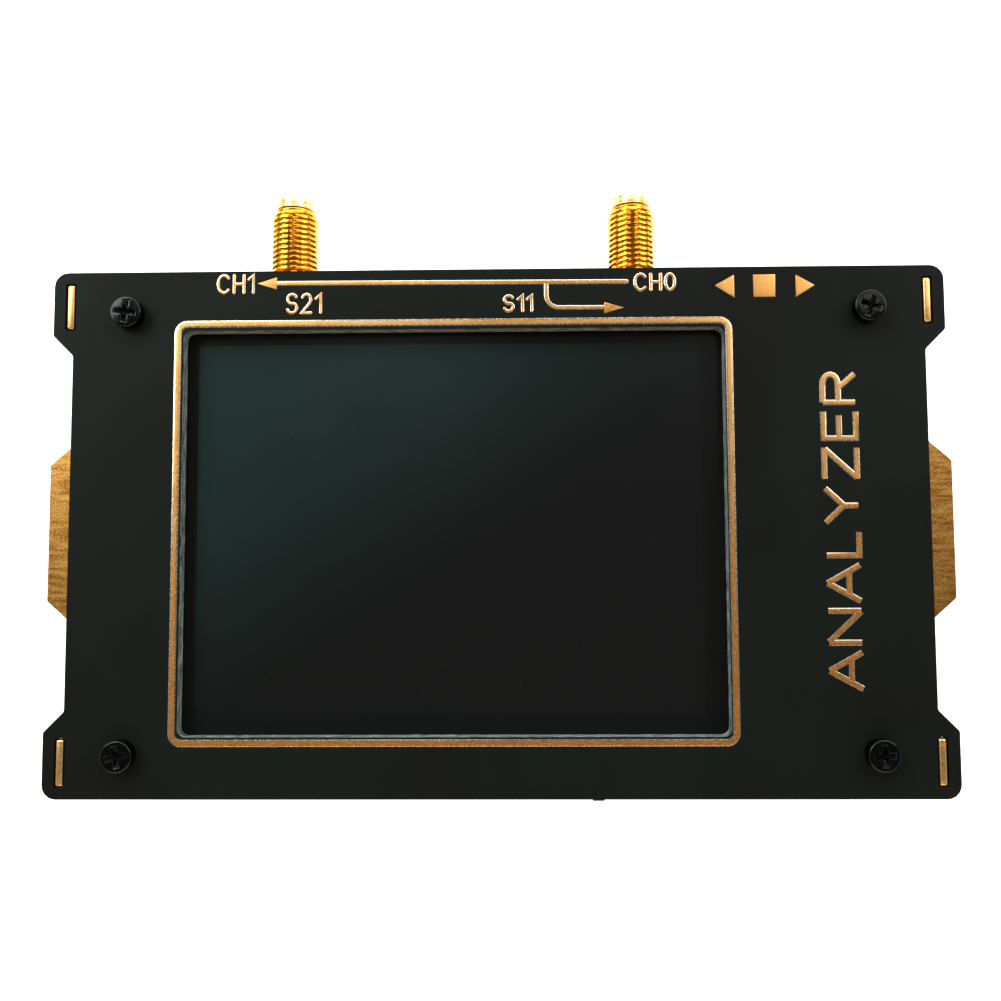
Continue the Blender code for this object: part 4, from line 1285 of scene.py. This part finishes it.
# %% [markdown]
# ## The battery
#
# A pouch cell is a roll of foils in a soft aluminium bag. Its faces bulge a little, its long
# edges are folded up and taped, and one end is a flat sealed lip where the tabs come out. It is
# drawn as rings from end to end: a rounded section that thins into the lip.

# %% Pouch cell
low, high, centre = span("battery_cell")
LIP = 3.2 * MM
LIP_TALL = 0.12 * MM
CELL_RINGS = 28
SAG = 0.14 * MM


def cell_section(x):
    """The pouch's section across its length, at one place along it."""
    half = (high - low) / 2
    from_tabs = high.x - x
    full = min(1.0, max(0.0, (from_tabs - LIP * 0.8) / (1.6 * MM)))
    end = min(1.0, max(0.05, (x - low.x) / (1.2 * MM)))
    rise = full * full * (3 - 2 * full) * (1 - (1 - end) ** 2) ** 0.5
    tall = LIP_TALL + (half.z - LIP_TALL) * rise
    wide = half.y * (0.93 + 0.07 * rise)
    outline = rounded(wide, tall, min(tall * 0.92, 1.4 * MM), 6)
    points = []
    for p in outline:
        crown = 1 - (p.x / wide) ** 2
        dip = SAG * rise * (1 - crown) * (1 if p.y > 0 else -1)
        points.append(Vector((x, centre.y + p.x, centre.z + p.y - dip)))
    return points


start, length = low.x + 0.05 * MM, high.x - low.x - 0.1 * MM
stations = [start + length * i / CELL_RINGS for i in range(CELL_RINGS + 1)]
stations += [low.x + d * MM for d in (0.2, 0.4, 0.7, 1.0)]
stations += [high.x - d * MM for d in (2.2, 2.8, 3.4, 3.8)]
shape = bmesh.new()
loft(shape, [cell_section(x) for x in sorted(stations)])
for y in (-0.32, 0.32):
    at = centre.y + (high.y - low.y) * y
    tab_low = (high.x - LIP, at - 2 * MM, centre.z + 0.1 * MM)
    tab_high = (high.x - 0.2 * MM, at + 2 * MM, centre.z + 0.24 * MM)
    block(shape, tab_low, tab_high, 0.3 * MM, 0.04 * MM, part=1)
piece("battery_pouch", shape, ("pouch_foil", "tinned"), stands_for=("battery_cell",))

# %% [markdown]
# ## Small parts on the board
#
# Between the large parts, the board carries hundreds of resistors and capacitors, which show
# through the open long sides of the case. They are scattered by a seeded draw on a grid, turned
# either way, and left out wherever a larger part stands. Each is a body between two tinned ends.

# %% Resistors and capacitors
CHIP_PITCH = 2.3 * MM
CLEAR = 1.0 * MM
draw = random.Random(36)


def taken(side_low, side_high):
    """The boxes of everything that stands between two heights beside the board."""
    boxes = [span(node)[:2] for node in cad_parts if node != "main_board"]
    return [(low, high) for low, high in boxes if high.z > side_low and low.z < side_high]


def clear_of(at, areas):
    """Whether a place keeps its distance from every box."""
    return not any(
        low.x - CLEAR < at.x < high.x + CLEAR and low.y - CLEAR < at.y < high.y + CLEAR
        for low, high in areas
    )


def small_part(shape, at, size, up, crosswise):
    """One body with a metal end on either side."""
    long, wide, tall = size
    for part, start, stop in ((0, -0.52, 0.52), (2, -1, -0.5), (2, 0.5, 1)):
        swell = 0.02 * MM if part else 0
        x0, x1 = start * long / 2, stop * long / 2
        half = wide / 2 + swell
        low, high = Vector((x0, -half, 0)), Vector((x1, half, 0))
        if crosswise:
            low, high = Vector((-half, x0, 0)), Vector((half, x1, 0))
        z0, z1 = sorted((at.z, at.z + up * (tall + swell)))
        kind = part or (0 if tall > 0.5 * MM else 1)
        corners = ((at.x + low.x, at.y + low.y, z0), (at.x + high.x, at.y + high.y, z1))
        block(shape, *corners, 0.07 * MM, 0.05 * MM, part=kind, steps=1)


SIZES = (
    (1.6 * MM, 0.8 * MM, 0.75 * MM),
    (1.0 * MM, 0.5 * MM, 0.35 * MM),
    (1.6 * MM, 0.8 * MM, 0.45 * MM),
)
HEADROOM = 1.2 * MM
FILLED = 0.62
START_X, START_Y = BOARD_LOW.x + 9.5 * MM, PLATE_LOW.y + 3.2 * MM
COLUMNS = int((BOARD_HIGH.x - BOARD_LOW.x - 17 * MM) / CHIP_PITCH)
ROWS = int((PLATE_HIGH.y - PLATE_LOW.y - 4 * MM) / CHIP_PITCH)

for side, level, up in (("front", BOARD_HIGH.z, 1), ("back", BOARD_LOW.z, -1)):
    areas = taken(*sorted((level, level + up * HEADROOM)))
    shape = bmesh.new()
    count = 0
    for i in range(COLUMNS):
        for j in range(ROWS):
            at = Vector((START_X + i * CHIP_PITCH, START_Y + j * CHIP_PITCH, level))
            size, chance, crosswise = draw.choice(SIZES), draw.random(), draw.random() < 0.5
            if chance < FILLED and clear_of(at, areas):
                small_part(shape, at, size, up, crosswise)
                count += 1
    piece(f"small_parts_{side}", shape, ("capacitor_body", "package_resin", "tinned"))
    print(side, count, "resistors and capacitors")

# %% [markdown]
# ## Floor, light and camera
#
# The instrument lies on its back screws on a white floor. Its screen and mask are dark and fairly
# smooth, so they show whatever is straight above them: the sky fades towards the top, and broad
# soft lamps stand round the object instead. Two small weak ones hang higher, for the gold of the
# frame and signs to mirror. The camera looks almost straight down from a hand's breadth.

# %% White floor


@finish
def white_floor(name):
    paint = Finish(name, roughness=0.6, emission_color=(1, 1, 1), emission_strength=0.9)
    cloud = paint.noise(0.01, 3.0)
    paint.feed(base_color=paint.blend(cloud, (0.90, 0.90, 0.90), (0.94, 0.94, 0.94)))
    return paint


FLOOR_HALF = 3.0
outline = rounded(FLOOR_HALF, FLOOR_HALF, 0.2, 8)
shape = bmesh.new()
loft(shape, [[Vector((p.x, p.y, z)) for p in outline] for z in (-0.01, 0.0)])
mesh_object("floor", shape, ("white_floor",))
print("floor", 2 * FLOOR_HALF, "m across")

# %% Sky and soft lamps
SKY_FALL = (("From Min", 0.15), ("From Max", 0.75), ("To Min", 0.75), ("To Max", 0.15))
sky = bpy.data.worlds.new("studio")
bpy.context.scene.world = sky
sky.use_nodes = True
background = sky.node_tree.nodes["Background"]
background.inputs["Color"].default_value = (0.93, 1.0, 0.97, 1)
way = sky.node_tree.nodes.new("ShaderNodeTexCoord")
parts = sky.node_tree.nodes.new("ShaderNodeSeparateXYZ")
fall = sky.node_tree.nodes.new("ShaderNodeMapRange")
for title, value in SKY_FALL:
    fall.inputs[title].default_value = value
sky.node_tree.links.new(way.outputs["Generated"], parts.inputs[0])
sky.node_tree.links.new(parts.outputs["Z"], fall.inputs["Value"])
sky.node_tree.links.new(fall.outputs[0], background.inputs["Strength"])


def lamp(name, place, size, watts, colour=(1, 1, 1)):
    """A rectangular soft box that looks at the plate's centre."""
    light = bpy.data.lights.new(name, "AREA")
    light.shape = "RECTANGLE"
    light.size, light.size_y = size
    light.energy = watts
    light.color = colour
    made = bpy.data.objects.new(name, light)
    made.location = PLATE_CENTRE + Vector(place)
    made.rotation_euler = (-Vector(place)).to_track_quat("-Z", "Y").to_euler()
    bpy.context.scene.collection.objects.link(made)
    print("lamp", name, watts, "W")


lamp("window_left", (-0.40, 0.30, 0.36), (0.42, 0.34), 3.4, (0.96, 1.0, 0.98))
lamp("window_right", (0.46, 0.26, 0.30), (0.3, 0.3), 1.4, (1.0, 0.93, 0.84))
lamp("window_far", (0.05, 0.60, 0.30), (0.9, 0.3), 4.0)
lamp("window_near", (0.0, -0.55, 0.35), (0.8, 0.3), 2.6, (1.0, 0.62, 0.30))
lamp("panel_left", (-0.10, 0.20, 0.56), (0.10, 0.20), 0.09)
lamp("panel_right", (0.24, 0.22, 0.54), (0.16, 0.20), 0.19)

# %% Camera
camera_data = bpy.data.cameras.new("camera")
camera_data.sensor_width = 36.0
camera_data.lens = 31.61
camera_data.clip_start = 0.005
camera = bpy.data.objects.new("camera", camera_data)
camera.location = on_plate(2.174, -3.239, 111.351)
camera.rotation_euler = [radians(angle) for angle in (3.5411, 0.8897, -0.2661)]
bpy.context.scene.collection.objects.link(camera)
bpy.context.scene.camera = camera
bpy.context.scene.view_settings.view_transform = "Standard"
print("camera at", [round(v, 5) for v in camera.location])
